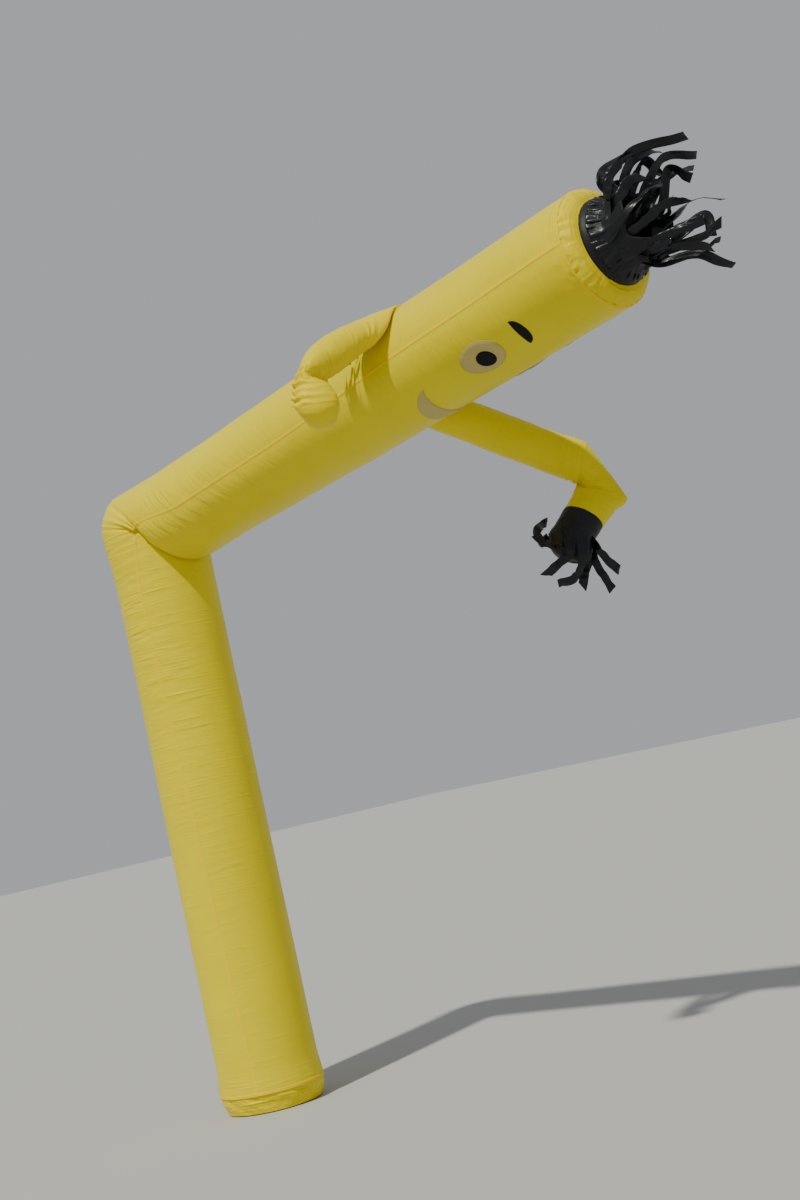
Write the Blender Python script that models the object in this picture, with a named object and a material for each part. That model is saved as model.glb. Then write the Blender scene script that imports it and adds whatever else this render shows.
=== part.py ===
"""Inflatable air dancer: a hollow yellow nylon tube blown up by a fan under it.

The leg stands up from the fan's collar and the body folds over at the waist, so the
upper length points forward and a little up. It carries two arms with black hands, a
face of sewn patches, a gathered crown round an open top, and black streamers for hair.

Frame: metres, +Z up along the leg, +X forward over the fold, origin at the centre of
the base cuff's lower edge. Round the tube, an angle of 0 is the back of the leg and the
top of the upper length, 90 is its -Y side, and 180 is the front and the underside.
"""

import math

import bmesh
import bpy
from mathutils import Vector

# ---- Tube -------------------------------------------------------------------------
TUBE_RADIUS = 0.2286  # an 18 inch tube
CLOTH = 0.002  # wall of the tube, cuff and crown
THIN_CLOTH = 0.0015  # wall of the arms, hands and collar
SEAM_GAP = 0.0004  # between two pieces where they are sewn together
WAIST_HEIGHT = 2.631  # where the leg's axis meets the upper length's axis
UPPER_RISE = math.radians(6.4)  # slope of the upper length above level
CROWN_SEAM = 2.850  # along the upper axis, from the waist to the crown's seam
MOUTH_ALONG = 2.900  # and to the edge of the open top
TUBE_SIDES = 36

# Girth along the leg by height, and along the upper length from the waist, as shares of
# the tube's radius: it swells at the foot and slackens on both sides of the fold.
LEG_GIRTH = ((0.085, 1.03), (0.20, 1.00), (1.30, 0.985), (1.70, 0.978), (2.30, 0.98), (2.60, 0.995))
UPPER_GIRTH = (
    (-0.20, 0.985), (0.00, 0.975), (0.30, 0.950), (0.60, 0.942),
    (0.90, 0.962), (1.20, 0.975), (1.45, 1.000), (2.75, 1.000), (2.85, 0.985),
)

# ---- Waist fold -------------------------------------------------------------------
# Two creases leave a pinch on each side of the tube, run over the back of the fold and
# leave a patch between them. From pinch to pinch under the fold they are one crease.
PINCH_COLUMN = 110  # the column of the mesh that a pinch lies on, in degrees
PINCH_ANGLE = 124.0  # of the pinch round the leg
PINCH_HEIGHT = 2.614
PINCH_GIRTH = 0.99
GROOVE_HEIGHT = 2.447  # of the crease at the front of the leg
GROOVE_GIRTH = 0.98
LEG_TOP = 2.701  # height of the lower crease at the back
LEG_TOP_GIRTH = 1.055  # the leg's top corner stands out
UPPER_START = -0.178  # where the upper crease crosses the top of the tube
UPPER_START_GIRTH = 1.00
UPPER_CREASE_POWER = 2.4  # how late the upper crease climbs from the pinch
FACET_BULGE = 0.010  # swell of the patch between the two creases
CREASE_REACH = 0.110  # length over which the tube rounds into a crease
SWELL_REACH = 0.300  # and over which a corner's swelling fades
TWIST_REACH = 0.350  # and over which the columns straighten
CREASE_ROWS = (0.240, 0.160, 0.105, 0.065, 0.035, 0.015, 0.005)  # distances from a crease
LEG_ROWS = 9  # rows of the plain length below those
UPPER_ROWS = 11  # and of the plain length beyond them

# ---- Cuff, crown and collar -------------------------------------------------------
ROUND_SIDES = 48
CUFF_HEIGHT = 0.085
CUFF_MOUTH_RADIUS = 0.212  # the cuff draws in round the fan's collar
CUFF_STEPS = 4
CUFF_RIPPLE = 0.003
CUFF_RIPPLES = 12
CROWN_PROFILE = (  # along the upper axis, and the girth
    (2.854, 0.985), (2.866, 0.960), (2.878, 0.920), (2.889, 0.865), (2.896, 0.800), (2.900, 0.731),
)
CROWN_RIPPLE = 0.0018  # half the height of its gathers
MOUTH_RADIUS = 0.167
COLLAR_OVERLAP = 0.006  # sleeve inside the open top
COLLAR_LENGTH = 0.092  # and beyond it
COLLAR_END_RADIUS = 0.130
COLLAR_STEPS = 4

# ---- Strips of the hair and hands -------------------------------------------------
STRIP_THICKNESS = 0.0012
ROOT_STRIP = 0.010  # height of the narrow ring that strips grow from
STRIP_FACING = 0.6  # how far the strips' flat sides turn out of the upright plane
KNEE_OUT = 0.035  # how far a strip's knee and bend stand out of its even course
BEND_OUT = 0.020
STREAMER_WIDTH = 0.036
STREAMER_STEPS = 10
FINGER_WIDTH = 0.030
FINGER_STEPS = 8

# ---- Arms -------------------------------------------------------------------------
SHOULDER_ALONG = 1.800  # origin of the arms' tables, along the upper axis
PLANE_TURN = math.radians(50)  # heading of the upright plane that the tables lie in
ARM_SIDES = 16
ARM_LIFT = 0.0011  # from the tube's skin to the arm's stitched edge
ARM_HEM = 0.006  # straight part of an arm or a hand next to a seam
FAR_FINGER_GAP = 0.0011  # from the far hand's slanted rim to the ring of its fingers
AIR_HOLE_RADIUS = 0.045  # cut in the tube's wall under each arm

# ---- Face patches -----------------------------------------------------------------
PATCH_LIFT = 0.0007  # from the tube's skin to the back of a patch
PATCH_THICKNESS = 0.0010
PUPIL_LIFT = 0.0021  # the pupils lie on the eye whites
PATCH_OUTLINE = 28  # corners round an oval
CRESCENT_STEPS = 20
FACE_CENTRE = 177.0  # degrees round the tube
# Along the upper axis, degrees aside of the face's centre, then half length and width
EYE_WHITE = (2.302, 38.3, 0.102, 0.071)
PUPIL = (2.313, 35.8, 0.042, 0.036)
# Along the upper axis, degrees aside, half spread in degrees, inner and outer bulge
BROW = (2.500, 40.0, 15.0, 0.0, 0.043)
SMILE = (1.995, 0.0, 42.0, -0.045, -0.136)

YELLOW = (0.78, 0.62, 0.03)
BLACK = (0.012, 0.012, 0.016)
CREAM = (0.86, 0.80, 0.55)

WAIST = Vector((0.0, 0.0, WAIST_HEIGHT))
UPPER = Vector((math.cos(UPPER_RISE), 0.0, math.sin(UPPER_RISE)))
UPPER_TOP = Vector((-math.sin(UPPER_RISE), 0.0, math.cos(UPPER_RISE)))
NEAR_SIDE = Vector((0.0, -1.0, 0.0))
UP = Vector((0.0, 0.0, 1.0))
PLANE_ACROSS = Vector((math.cos(PLANE_TURN), math.sin(PLANE_TURN), 0.0))
PLANE_OUT = Vector((math.sin(PLANE_TURN), -math.cos(PLANE_TURN), 0.0))
SHOULDER = WAIST + SHOULDER_ALONG * UPPER
MOUTH = WAIST + MOUTH_ALONG * UPPER

# Cross sections of the arms from root to wrist, in the upright plane through the
# shoulder: the two edges of the flattened tube (across, up), how far the section stands
# out of the plane, and half its thickness.
NEAR_ARM = (
    # edge 1 across, up   edge 2 across, up   out     half thickness
    (-0.066, 0.203, -0.177, 0.073, 0.211, 0.070),
    (-0.158, 0.184, -0.203, 0.048, 0.237, 0.075),
    (-0.230, 0.161, -0.243, 0.015, 0.277, 0.072),
    (-0.302, 0.132, -0.285, -0.017, 0.317, 0.068),
    (-0.369, 0.093, -0.333, -0.042, 0.347, 0.062),
    (-0.414, 0.049, -0.376, -0.042, 0.377, 0.052),
    (-0.445, -0.006, -0.401, -0.037, 0.397, 0.040),
    (-0.466, -0.043, -0.397, -0.050, 0.407, 0.034),
    (-0.480, -0.073, -0.350, -0.077, 0.417, 0.040),
    (-0.495, -0.126, -0.325, -0.131, 0.427, 0.050),
    (-0.475, -0.171, -0.326, -0.171, 0.422, 0.048),
    (-0.450, -0.200, -0.348, -0.212, 0.380, 0.028),
    (-0.450, -0.163, -0.347, -0.177, 0.320, 0.024),
    (-0.454, -0.108, -0.338, -0.120, 0.288, 0.030),
    (-0.440, -0.062, -0.336, -0.076, 0.262, 0.035),
    (-0.421, -0.009, -0.336, -0.023, 0.236, 0.040),
)
NEAR_HAND = (
    (-0.410, 0.026, -0.318, 0.014, 0.203, 0.042),
    (-0.400, 0.062, -0.300, 0.046, 0.172, 0.042),
)
FAR_ARM = (
    (0.086, -0.216, 0.174, -0.083, -0.228, 0.078),
    (0.173, -0.272, 0.258, -0.134, -0.228, 0.078),
    (0.328, -0.375, 0.423, -0.236, -0.228, 0.080),
    (0.484, -0.475, 0.568, -0.329, -0.228, 0.080),
    (0.589, -0.543, 0.663, -0.387, -0.228, 0.072),
    (0.583, -0.557, 0.775, -0.647, -0.212, 0.045),
    (0.541, -0.602, 0.707, -0.690, -0.190, 0.060),
    (0.503, -0.641, 0.635, -0.748, -0.165, 0.074),
)
FAR_HAND = (
    (0.455, -0.690, 0.606, -0.777, -0.150, 0.078),
    (0.416, -0.728, 0.580, -0.800, -0.135, 0.078),
)

# Where an arm meets the tube, as an oval on its skin: the centre, the step to the second
# edge, and the step to the outer side, each as (along the upper axis, degrees round).
NEAR_ROOT = ((1.850, 37.0), (-0.0925, 13.8), (0.037, 15.5))
FAR_ROOT = ((1.660, 245.0), (0.0335, 18.75), (0.0835, -10.3))

# Streamers: angle of the root round the crown, then a knee, a bend and the tip as
# (across, up) in the upright plane through the mouth, then how far out the tip stands.
STREAMERS = (
    # root   knee            bend            tip             tip out
    (20, 0.022, 0.203, 0.127, 0.290, 0.337, 0.320, 0.02),
    (40, -0.026, 0.174, 0.011, 0.230, 0.124, 0.274, 0.08),
    (60, -0.017, 0.137, 0.015, 0.186, 0.065, 0.221, 0.16),
    (80, 0.012, 0.095, 0.055, 0.139, 0.104, 0.152, 0.20),
    (100, 0.020, 0.035, 0.088, 0.094, 0.156, 0.106, 0.24),
    (120, 0.058, -0.022, 0.136, 0.019, 0.218, 0.023, 0.28),
    (140, 0.099, -0.080, 0.180, -0.066, 0.255, -0.058, 0.28),
    (160, 0.094, -0.125, 0.190, -0.123, 0.268, -0.150, 0.25),
    (180, 0.118, -0.152, 0.227, -0.148, 0.338, -0.219, 0.21),
    (200, 0.151, -0.131, 0.238, -0.125, 0.326, -0.105, 0.17),
    (220, 0.184, -0.085, 0.281, -0.065, 0.358, -0.041, 0.13),
    (240, 0.210, -0.045, 0.322, 0.010, 0.324, -0.072, 0.09),
    (260, 0.219, 0.024, 0.298, 0.071, 0.404, 0.049, 0.06),
    (280, 0.190, 0.085, 0.228, 0.185, 0.292, 0.130, 0.14),
    (300, 0.180, 0.135, 0.254, 0.195, 0.357, 0.209, -0.05),
    (320, 0.154, 0.157, 0.241, 0.260, 0.367, 0.247, 0.00),
    (340, 0.108, 0.170, 0.174, 0.258, 0.240, 0.200, -0.02),
    (360, 0.066, 0.186, 0.146, 0.277, 0.270, 0.304, -0.05),
)

# Fingers of the far hand, in the same way, from the upright plane through the shoulder.
FAR_FINGERS = (
    (10, 0.588, -0.822, 0.622, -0.877, 0.663, -0.925, -0.16),
    (70, 0.508, -0.876, 0.467, -0.928, 0.404, -0.932, -0.12),
    (110, 0.461, -0.829, 0.411, -0.861, 0.361, -0.892, -0.10),
    (145, 0.424, -0.790, 0.388, -0.775, 0.352, -0.727, -0.06),
    (200, 0.378, -0.752, 0.390, -0.692, 0.450, -0.662, -0.30),
    (270, 0.545, -0.862, 0.524, -0.906, 0.504, -0.962, -0.15),
    (325, 0.570, -0.867, 0.591, -0.927, 0.619, -0.996, -0.17),
)
NEAR_FINGER_ANGLES = (15, 65, 115, 165, 215, 265, 315)
NEAR_FINGER_WAY = 0.82 * PLANE_ACROSS + 0.24 * UP - 0.24 * PLANE_OUT
NEAR_FINGER_RISE = 0.012  # straight stretch before the fingers turn
NEAR_FINGER_REACH = (0.037, 0.074, 0.111)  # knee, bend and tip
NEAR_FINGER_WIDTH = 0.022
NEAR_FINGER_FLARE = 0.10  # spread of the fingers for their length


# ---- Helpers ----------------------------------------------------------------------
def clear_scene():
    for thing in list(bpy.data.objects):
        bpy.data.objects.remove(thing, do_unlink=True)


def smooth_step(value):
    value = min(max(value, 0.0), 1.0)
    return value * value * (3.0 - 2.0 * value)


def blend(low, high, share):
    return low + (high - low) * share


def round_leg(angle):
    """Direction out of the leg at an angle in degrees."""
    turn = math.radians(angle)
    return Vector((-math.cos(turn), -math.sin(turn), 0.0))


def round_upper(angle):
    """Direction out of the upper length at an angle in degrees."""
    turn = math.radians(angle)
    return math.cos(turn) * UPPER_TOP + math.sin(turn) * NEAR_SIDE


def on_upper(along, angle, radius=TUBE_RADIUS):
    return WAIST + along * UPPER + radius * round_upper(angle)


def in_plane(origin, across, up, out):
    """A point from its place in the upright plane through an origin."""
    return origin + across * PLANE_ACROSS + up * UP + out * PLANE_OUT


def cloth_material(name, colour, roughness):
    material = bpy.data.materials.new(name)
    material.use_nodes = True
    shader = material.node_tree.nodes["Principled BSDF"]
    shader.inputs["Base Color"].default_value = (*colour, 1.0)
    shader.inputs["Roughness"].default_value = roughness
    shader.inputs["Metallic"].default_value = 0.0
    return material


def add_object(name, points, faces, colour, roughness):
    mesh = bpy.data.meshes.new(name)
    mesh.from_pydata([tuple(point) for point in points], [], faces)
    mesh.materials.append(cloth_material(name, colour, roughness))
    mesh.shade_smooth()
    mesh.set_sharp_from_angle(angle=math.radians(40))
    piece = bpy.data.objects.new(name, mesh)
    bpy.context.scene.collection.objects.link(piece)
    return piece


def thicken(piece, thickness):
    """Gives a sheet its wall, inwards, with rims along its open edges."""
    wall = piece.modifiers.new("wall", "SOLIDIFY")
    wall.thickness = thickness
    wall.offset = -1.0
    wall.use_rim = True


def face_outwards(piece):
    """Turns the faces of a closed mesh outwards."""
    shape = bmesh.new()
    shape.from_mesh(piece.data)
    bmesh.ops.recalc_face_normals(shape, faces=shape.faces[:])
    if shape.calc_volume(signed=True) < 0:
        bmesh.ops.reverse_faces(shape, faces=shape.faces[:])
    shape.to_mesh(piece.data)
    shape.free()


def faces_between(rows):
    """Faces between rows of point numbers that run round a tube.

    Where two rows share a point the face loses a corner, and where they share two it
    drops out.
    """
    faces = []
    for low, high in zip(rows, rows[1:]):
        for column in range(len(low)):
            after = (column + 1) % len(low)
            corners = []
            for point in (low[column], low[after], high[after], high[column]):
                if point not in corners:
                    corners.append(point)
            if len(corners) > 2:
                faces.append(corners)
    return faces


def tube_through(name, loops, colour, roughness, thickness):
    """A thin-walled tube, open at both ends, through loops with equal numbers of points."""
    count = len(loops[0])
    points = [point for loop in loops for point in loop]
    rows = [list(range(first, first + count)) for first in range(0, len(points), count)]
    piece = add_object(name, points, faces_between(rows), colour, roughness)
    thicken(piece, thickness)
    return piece


# ---- Body tube with its folded waist ----------------------------------------------
def girth_at(table, place):
    """Girth from a table of places and girths, changing smoothly between its rows."""
    for (low, low_girth), (high, high_girth) in zip(table, table[1:]):
        if place <= high:
            return blend(low_girth, high_girth, smooth_step((place - low) / (high - low)))
    return table[-1][1]


def from_back(column):
    """Degrees round from the back of the tube, 0 to 180, the same on both sides."""
    return min(column, 360 - column)


def mirrored(column, angle):
    """The same angle on the column's own side of the tube."""
    return angle if column <= 180 else 360 - angle


def leg_end(column):
    """Angle, height and girth at which a column of the leg meets its crease."""
    turn = from_back(column)
    if turn >= PINCH_COLUMN:
        share = (turn - PINCH_COLUMN) / (180 - PINCH_COLUMN)
        angle = blend(PINCH_ANGLE, 180, share)
        height = blend(GROOVE_HEIGHT, PINCH_HEIGHT, (1.0 - share) ** 2)
        girth = blend(PINCH_GIRTH, GROOVE_GIRTH, share)
    else:
        share = turn / PINCH_COLUMN
        angle = PINCH_ANGLE * share
        height = blend(LEG_TOP, PINCH_HEIGHT, share**2)
        girth = blend(LEG_TOP_GIRTH, PINCH_GIRTH, share**3)
    return mirrored(column, angle), height, girth


def end_point(column):
    angle, height, girth = leg_end(column)
    return girth * TUBE_RADIUS * round_leg(angle) + height * UP


def upper_start(column):
    """Angle, place along the upper axis and girth at which its column leaves the crease."""
    turn = from_back(column)
    if turn >= PINCH_COLUMN:
        offset = end_point(column) - WAIST
        up = offset.dot(UPPER_TOP)
        side = offset.dot(NEAR_SIDE)
        angle = math.degrees(math.atan2(side, up)) % 360
        return angle, offset.dot(UPPER), math.hypot(up, side) / TUBE_RADIUS
    pinch_angle, pinch_along, pinch_girth = upper_start(PINCH_COLUMN)
    share = turn / PINCH_COLUMN
    angle = mirrored(column, pinch_angle * share)
    along = blend(pinch_along, UPPER_START, (1.0 - share**2) ** UPPER_CREASE_POWER)
    return angle, along, blend(UPPER_START_GIRTH, pinch_girth, share**8)


def near_crease(end, table, column, place):
    """Angle and radius of a column at a place on its length, given its end at the crease."""
    end_angle, end_place, end_girth = end
    distance = abs(place - end_place)
    angle = blend(end_angle, column, smooth_step(distance / TWIST_REACH))
    plain = girth_at(table, place)
    missing = girth_at(table, end_place) - end_girth
    if missing > 0.0:
        share = min(distance / CREASE_REACH, 1.0)
        drawn_in = missing * (1.0 - math.sqrt(1.0 - (1.0 - share) ** 2))
    else:
        drawn_in = missing * (1.0 - smooth_step(distance / SWELL_REACH))
    return angle, TUBE_RADIUS * (plain - drawn_in)


def leg_point(column, distance):
    """A point of the leg at a distance below its crease."""
    end = leg_end(column)
    height = end[1] - distance
    angle, radius = near_crease(end, LEG_GIRTH, column, height)
    return radius * round_leg(angle) + height * UP


def upper_point(column, distance):
    """A point of the upper length at a distance beyond its crease."""
    end = upper_start(column)
    along = end[1] + distance
    angle, radius = near_crease(end, UPPER_GIRTH, column, along)
    return on_upper(along, angle, radius)


def facet_point(column):
    """Middle of the patch between the two creases over the fold."""
    middle = (leg_point(column, 0.0) + upper_point(column, 0.0)) / 2
    arch = math.sqrt(1.0 - (from_back(column) / PINCH_COLUMN) ** 2)
    out = (round_leg(column) + round_upper(column)).normalized()
    return middle + FACET_BULGE * arch * out


def body_tube():
    columns = [360 * number // TUBE_SIDES for number in range(TUBE_SIDES)]
    points = []
    rows = []

    def add_row(loop):
        rows.append(list(range(len(points), len(points) + len(loop))))
        points.extend(loop)

    def add_outer_row(place):
        """A row over the fold that shares the last row's points under it."""
        row = []
        for number, column in enumerate(columns):
            if from_back(column) >= PINCH_COLUMN:
                row.append(rows[-1][number])
            else:
                row.append(len(points))
                points.append(place(column))
        rows.append(row)

    foot = CUFF_HEIGHT + SEAM_GAP
    for step in range(LEG_ROWS, 0, -1):
        share = step / LEG_ROWS
        add_row([leg_point(c, blend(CREASE_ROWS[0], leg_end(c)[1] - foot, share)) for c in columns])
    for distance in CREASE_ROWS:
        add_row([leg_point(c, distance) for c in columns])
    add_row([leg_point(c, 0.0) for c in columns])
    add_outer_row(facet_point)
    add_outer_row(lambda column: upper_point(column, 0.0))
    for distance in reversed(CREASE_ROWS):
        add_row([upper_point(c, distance) for c in columns])
    for step in range(1, UPPER_ROWS + 1):
        share = step / UPPER_ROWS
        add_row(
            [upper_point(c, blend(CREASE_ROWS[0], CROWN_SEAM - upper_start(c)[1], share)) for c in columns]
        )

    body = add_object("body_tube", points, faces_between(rows), YELLOW, 0.5)
    thicken(body, CLOTH)
    return body


def cut_air_hole(body, name, root):
    """A round hole through the tube's wall, where an arm is sewn on over it."""
    along, angle = root[0]
    bpy.ops.mesh.primitive_cylinder_add(vertices=16, radius=AIR_HOLE_RADIUS, depth=0.12)
    cutter = bpy.context.active_object
    cutter.name = name
    cutter.location = on_upper(along, angle)
    cutter.rotation_euler = round_upper(angle).to_track_quat("Z", "Y").to_euler()
    cutter.hide_render = True
    cutter.display_type = "WIRE"
    hole = body.modifiers.new(name, "BOOLEAN")
    hole.operation = "DIFFERENCE"
    hole.object = cutter


# ---- Base cuff, crown and collar --------------------------------------------------
def around(count):
    return [360 * corner / count for corner in range(count)]


def base_cuff():
    top_radius = TUBE_RADIUS * LEG_GIRTH[0][1]
    loops = []
    for step in range(CUFF_STEPS + 1):
        share = step / CUFF_STEPS
        radius = blend(CUFF_MOUTH_RADIUS, top_radius, math.sin(share * math.pi / 2))
        ripple = CUFF_RIPPLE * math.sin(share * math.pi)
        loop = []
        for angle in around(ROUND_SIDES):
            wave = ripple * math.cos(math.radians(CUFF_RIPPLES * angle))
            loop.append((radius + wave) * round_leg(angle) + share * CUFF_HEIGHT * UP)
        loops.append(loop)
    tube_through("base_cuff", loops, YELLOW, 0.5, CLOTH)


def crown():
    """The gathered end of the tube, rounded over to the edge of the open top."""
    start = (CROWN_SEAM + SEAM_GAP, UPPER_GIRTH[-1][1])
    loops = []
    for number, (along, girth) in enumerate((start,) + CROWN_PROFILE):
        gathered = CROWN_RIPPLE if 1 < number < len(CROWN_PROFILE) else 0.0
        loop = []
        for corner, angle in enumerate(around(ROUND_SIDES)):
            wave = gathered if corner % 2 else -gathered
            loop.append(on_upper(along, angle, girth * TUBE_RADIUS + wave))
        loops.append(loop)
    tube_through("crown", loops, YELLOW, 0.5, CLOTH)


def collar():
    """The black sleeve sewn inside the open top."""
    first = MOUTH_RADIUS - SEAM_GAP
    loops = []
    for along, share in [(MOUTH_ALONG - COLLAR_OVERLAP, 0.0)] + [
        (MOUTH_ALONG + COLLAR_LENGTH * step / COLLAR_STEPS, step / COLLAR_STEPS)
        for step in range(COLLAR_STEPS + 1)
    ]:
        radius = blend(first, COLLAR_END_RADIUS, smooth_step(share))
        loops.append([on_upper(along, angle, radius) for angle in around(ROUND_SIDES)])
    tube_through("collar", loops, BLACK, 0.35, THIN_CLOTH)


# ---- Strips that grow from a narrow ring --------------------------------------------
class Ring:
    """An oval ring: its centre, its two half axes and the way that its strips leave it."""

    def __init__(self, centre, right, front, way):
        self.centre = centre
        self.right = right
        self.front = front
        self.way = way

    def point(self, angle, inward=0.0, height=0.0):
        turn = math.radians(angle)
        out = math.cos(turn) * self.right + math.sin(turn) * self.front
        return self.centre + out * (1.0 - inward / out.length) + height * self.way

    def moved(self, distance):
        return Ring(self.centre + distance * self.way, self.right, self.front, self.way)


def smooth_path(knots, steps):
    """Points along a smooth curve from the second knot to the last."""
    knots = knots + [2 * knots[-1] - knots[-2]]
    spans = len(knots) - 3
    path = []
    for step in range(1, steps + 1):
        place = spans * step / steps
        span = min(int(place), spans - 1)
        share = place - span
        a, b, c, d = knots[span : span + 4]
        linear = (c - a) * share
        square = (2 * a - 5 * b + 4 * c - d) * share**2
        cube = (3 * b - a - 3 * c + d) * share**3
        path.append((2 * b + linear + square + cube) / 2)
    return path


def strip_sections(root, width_way, path, width):
    """Four corners of the strip at each point of its path."""
    sections = []
    before = root
    for number, centre in enumerate(path):
        after = path[min(number + 1, len(path) - 1)]
        way = (after - before).normalized()
        width_way = (width_way - width_way.dot(way) * way).normalized()
        in_plane_way = way.cross(PLANE_OUT).normalized()
        if in_plane_way.dot(width_way) < 0.0:
            in_plane_way = -in_plane_way
        turned = blend(width_way, in_plane_way, STRIP_FACING * number / len(path))
        width_way = (turned - turned.dot(way) * way).normalized()
        wide = width / 2 * width_way
        thick = STRIP_THICKNESS / 2 * width_way.cross(way)
        sections.append(
            [
                centre - wide + thick,
                centre + wide + thick,
                centre + wide - thick,
                centre - wide - thick,
            ]
        )
        before = centre
    return sections


def strip_faces(before, corners):
    """Triangles between two sections of a strip.

    Its two wide sides are split along the same diagonal, so that they stay parallel where it twists.
    """
    faces = []
    for side in (0, 1):
        after = side + 1
        faces.append([before[side], before[after], corners[after]])
        faces.append([before[side], corners[after], corners[side]])
    for side in (2, 3):
        after = (side + 1) % 4
        faces.append([before[side], before[after], corners[side]])
        faces.append([before[after], corners[after], corners[side]])
    return faces


def fringe(name, ring, strips, width, steps):
    """A narrow ring with a strip growing from its upper edge at each entry of strips.

    Each entry holds the strip's angle on the ring and its knots, in order of angle.
    """
    points = []
    faces = []
    edges = []
    for angle, _ in strips:
        radius = (ring.point(angle) - ring.centre).length
        half = math.degrees(width / 2 / radius)
        for side in (-half, half):
            first = len(points)
            points.append(ring.point(angle + side))
            points.append(ring.point(angle + side, THIN_CLOTH))
            points.append(ring.point(angle + side, THIN_CLOTH, ROOT_STRIP))
            points.append(ring.point(angle + side, 0.0, ROOT_STRIP))
            edges.append([first, first + 1, first + 2, first + 3])
    for number, (low, low_inner, high_inner, high) in enumerate(edges):
        next_low, next_low_inner, next_high_inner, next_high = edges[(number + 1) % len(edges)]
        faces.append([low, next_low, next_high, high])
        faces.append([low_inner, high_inner, next_high_inner, next_low_inner])
        faces.append([low, low_inner, next_low_inner, next_low])
        before = [high, next_high, next_high_inner, high_inner]
        if number % 2 == 0:
            angle, knots = strips[number // 2]
            root = sum((points[corner] for corner in before), Vector()) / 4
            width_way = points[next_high] - points[high]
            path = smooth_path([root - ROOT_STRIP * ring.way, root] + knots, steps)
            for section in strip_sections(root, width_way, path, width):
                corners = list(range(len(points), len(points) + 4))
                points.extend(section)
                faces.extend(strip_faces(before, corners))
                before = corners
        faces.append(before)
    piece = add_object(name, points, faces, BLACK, 0.3)
    face_outwards(piece)


def strips_of(table, origin, ring):
    """Strips that first stand out of the plane, then go evenly to the tip's distance."""
    strips = []
    for angle, knee_across, knee_up, bend_across, bend_up, tip_across, tip_up, tip_out in table:
        root_out = (ring.point(angle) - origin).dot(PLANE_OUT)
        knots = [
            in_plane(origin, knee_across, knee_up, blend(root_out, tip_out, 1 / 3) + KNEE_OUT),
            in_plane(origin, bend_across, bend_up, blend(root_out, tip_out, 2 / 3) + BEND_OUT),
            in_plane(origin, tip_across, tip_up, tip_out),
        ]
        strips.append((angle, knots))
    return strips


def streamers():
    centre = MOUTH + (COLLAR_LENGTH + SEAM_GAP) * UPPER
    ring = Ring(centre, COLLAR_END_RADIUS * UPPER_TOP, COLLAR_END_RADIUS * NEAR_SIDE, UPPER)
    fringe("streamers", ring, strips_of(STREAMERS, MOUTH, ring), STREAMER_WIDTH, STREAMER_STEPS)


# ---- Arms and hands ---------------------------------------------------------------
class Section:
    """One row of an arm's table as a flattened ring."""

    def __init__(self, row):
        across_1, up_1, across_2, up_2, out, self.half_thickness = row
        edge_1 = in_plane(SHOULDER, across_1, up_1, out)
        edge_2 = in_plane(SHOULDER, across_2, up_2, out)
        self.centre = (edge_1 + edge_2) / 2
        self.right = (edge_2 - edge_1) / 2

    def ring(self, way):
        front = way.cross(self.right).normalized() * self.half_thickness
        return Ring(self.centre, self.right, front, way)


def section_rings(rows):
    sections = [Section(row) for row in rows]
    rings = []
    for number, section in enumerate(sections):
        before = sections[max(number - 1, 0)].centre
        after = sections[min(number + 1, len(sections) - 1)].centre
        rings.append(section.ring((after - before).normalized()))
    return rings


def loops_of(rings):
    return [[ring.point(angle) for angle in around(ARM_SIDES)] for ring in rings]


def root_loop(root, lift):
    """The oval where an arm meets the tube, at a height over the tube's skin."""
    centre, to_edge, to_front = root
    loop = []
    for angle in around(ARM_SIDES):
        turn = math.radians(angle)
        along = centre[0] + math.cos(turn) * to_edge[0] + math.sin(turn) * to_front[0]
        degrees = centre[1] + math.cos(turn) * to_edge[1] + math.sin(turn) * to_front[1]
        loop.append(on_upper(along, degrees, TUBE_RADIUS + lift))
    return loop


def arm(name, root, rows):
    rings = section_rings(rows)
    end = rings.pop()
    rings += [end.moved(-ARM_HEM), end]
    loops = [root_loop(root, ARM_LIFT), root_loop(root, ARM_LIFT + ARM_HEM)] + loops_of(rings)
    tube_through(name, loops, YELLOW, 0.5, THIN_CLOTH)
    return end


def hand(name, wrist, rows, finger_gap):
    """The black cuff on an arm's end. Returns the ring that its fingers grow from."""
    start = wrist.moved(SEAM_GAP)
    rings = section_rings(rows)
    end = rings.pop()
    rings = [start, start.moved(ARM_HEM)] + rings + [end.moved(-ARM_HEM), end]
    tube_through(name, loops_of(rings), BLACK, 0.35, THIN_CLOTH)
    return end.moved(finger_gap)


def far_fingers(ring):
    fringe("far_fingers", ring, strips_of(FAR_FINGERS, SHOULDER, ring), FINGER_WIDTH, FINGER_STEPS)


def near_fingers(ring):
    strips = []
    for angle in NEAR_FINGER_ANGLES:
        root = ring.point(angle)
        out = (root - ring.centre).normalized()
        rise = root + (ROOT_STRIP + NEAR_FINGER_RISE) * ring.way
        way = NEAR_FINGER_WAY + NEAR_FINGER_FLARE * out
        knots = [rise + reach * way for reach in (0.0, *NEAR_FINGER_REACH)]
        strips.append((angle, knots))
    fringe("near_fingers", ring, strips, NEAR_FINGER_WIDTH, FINGER_STEPS)


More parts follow.
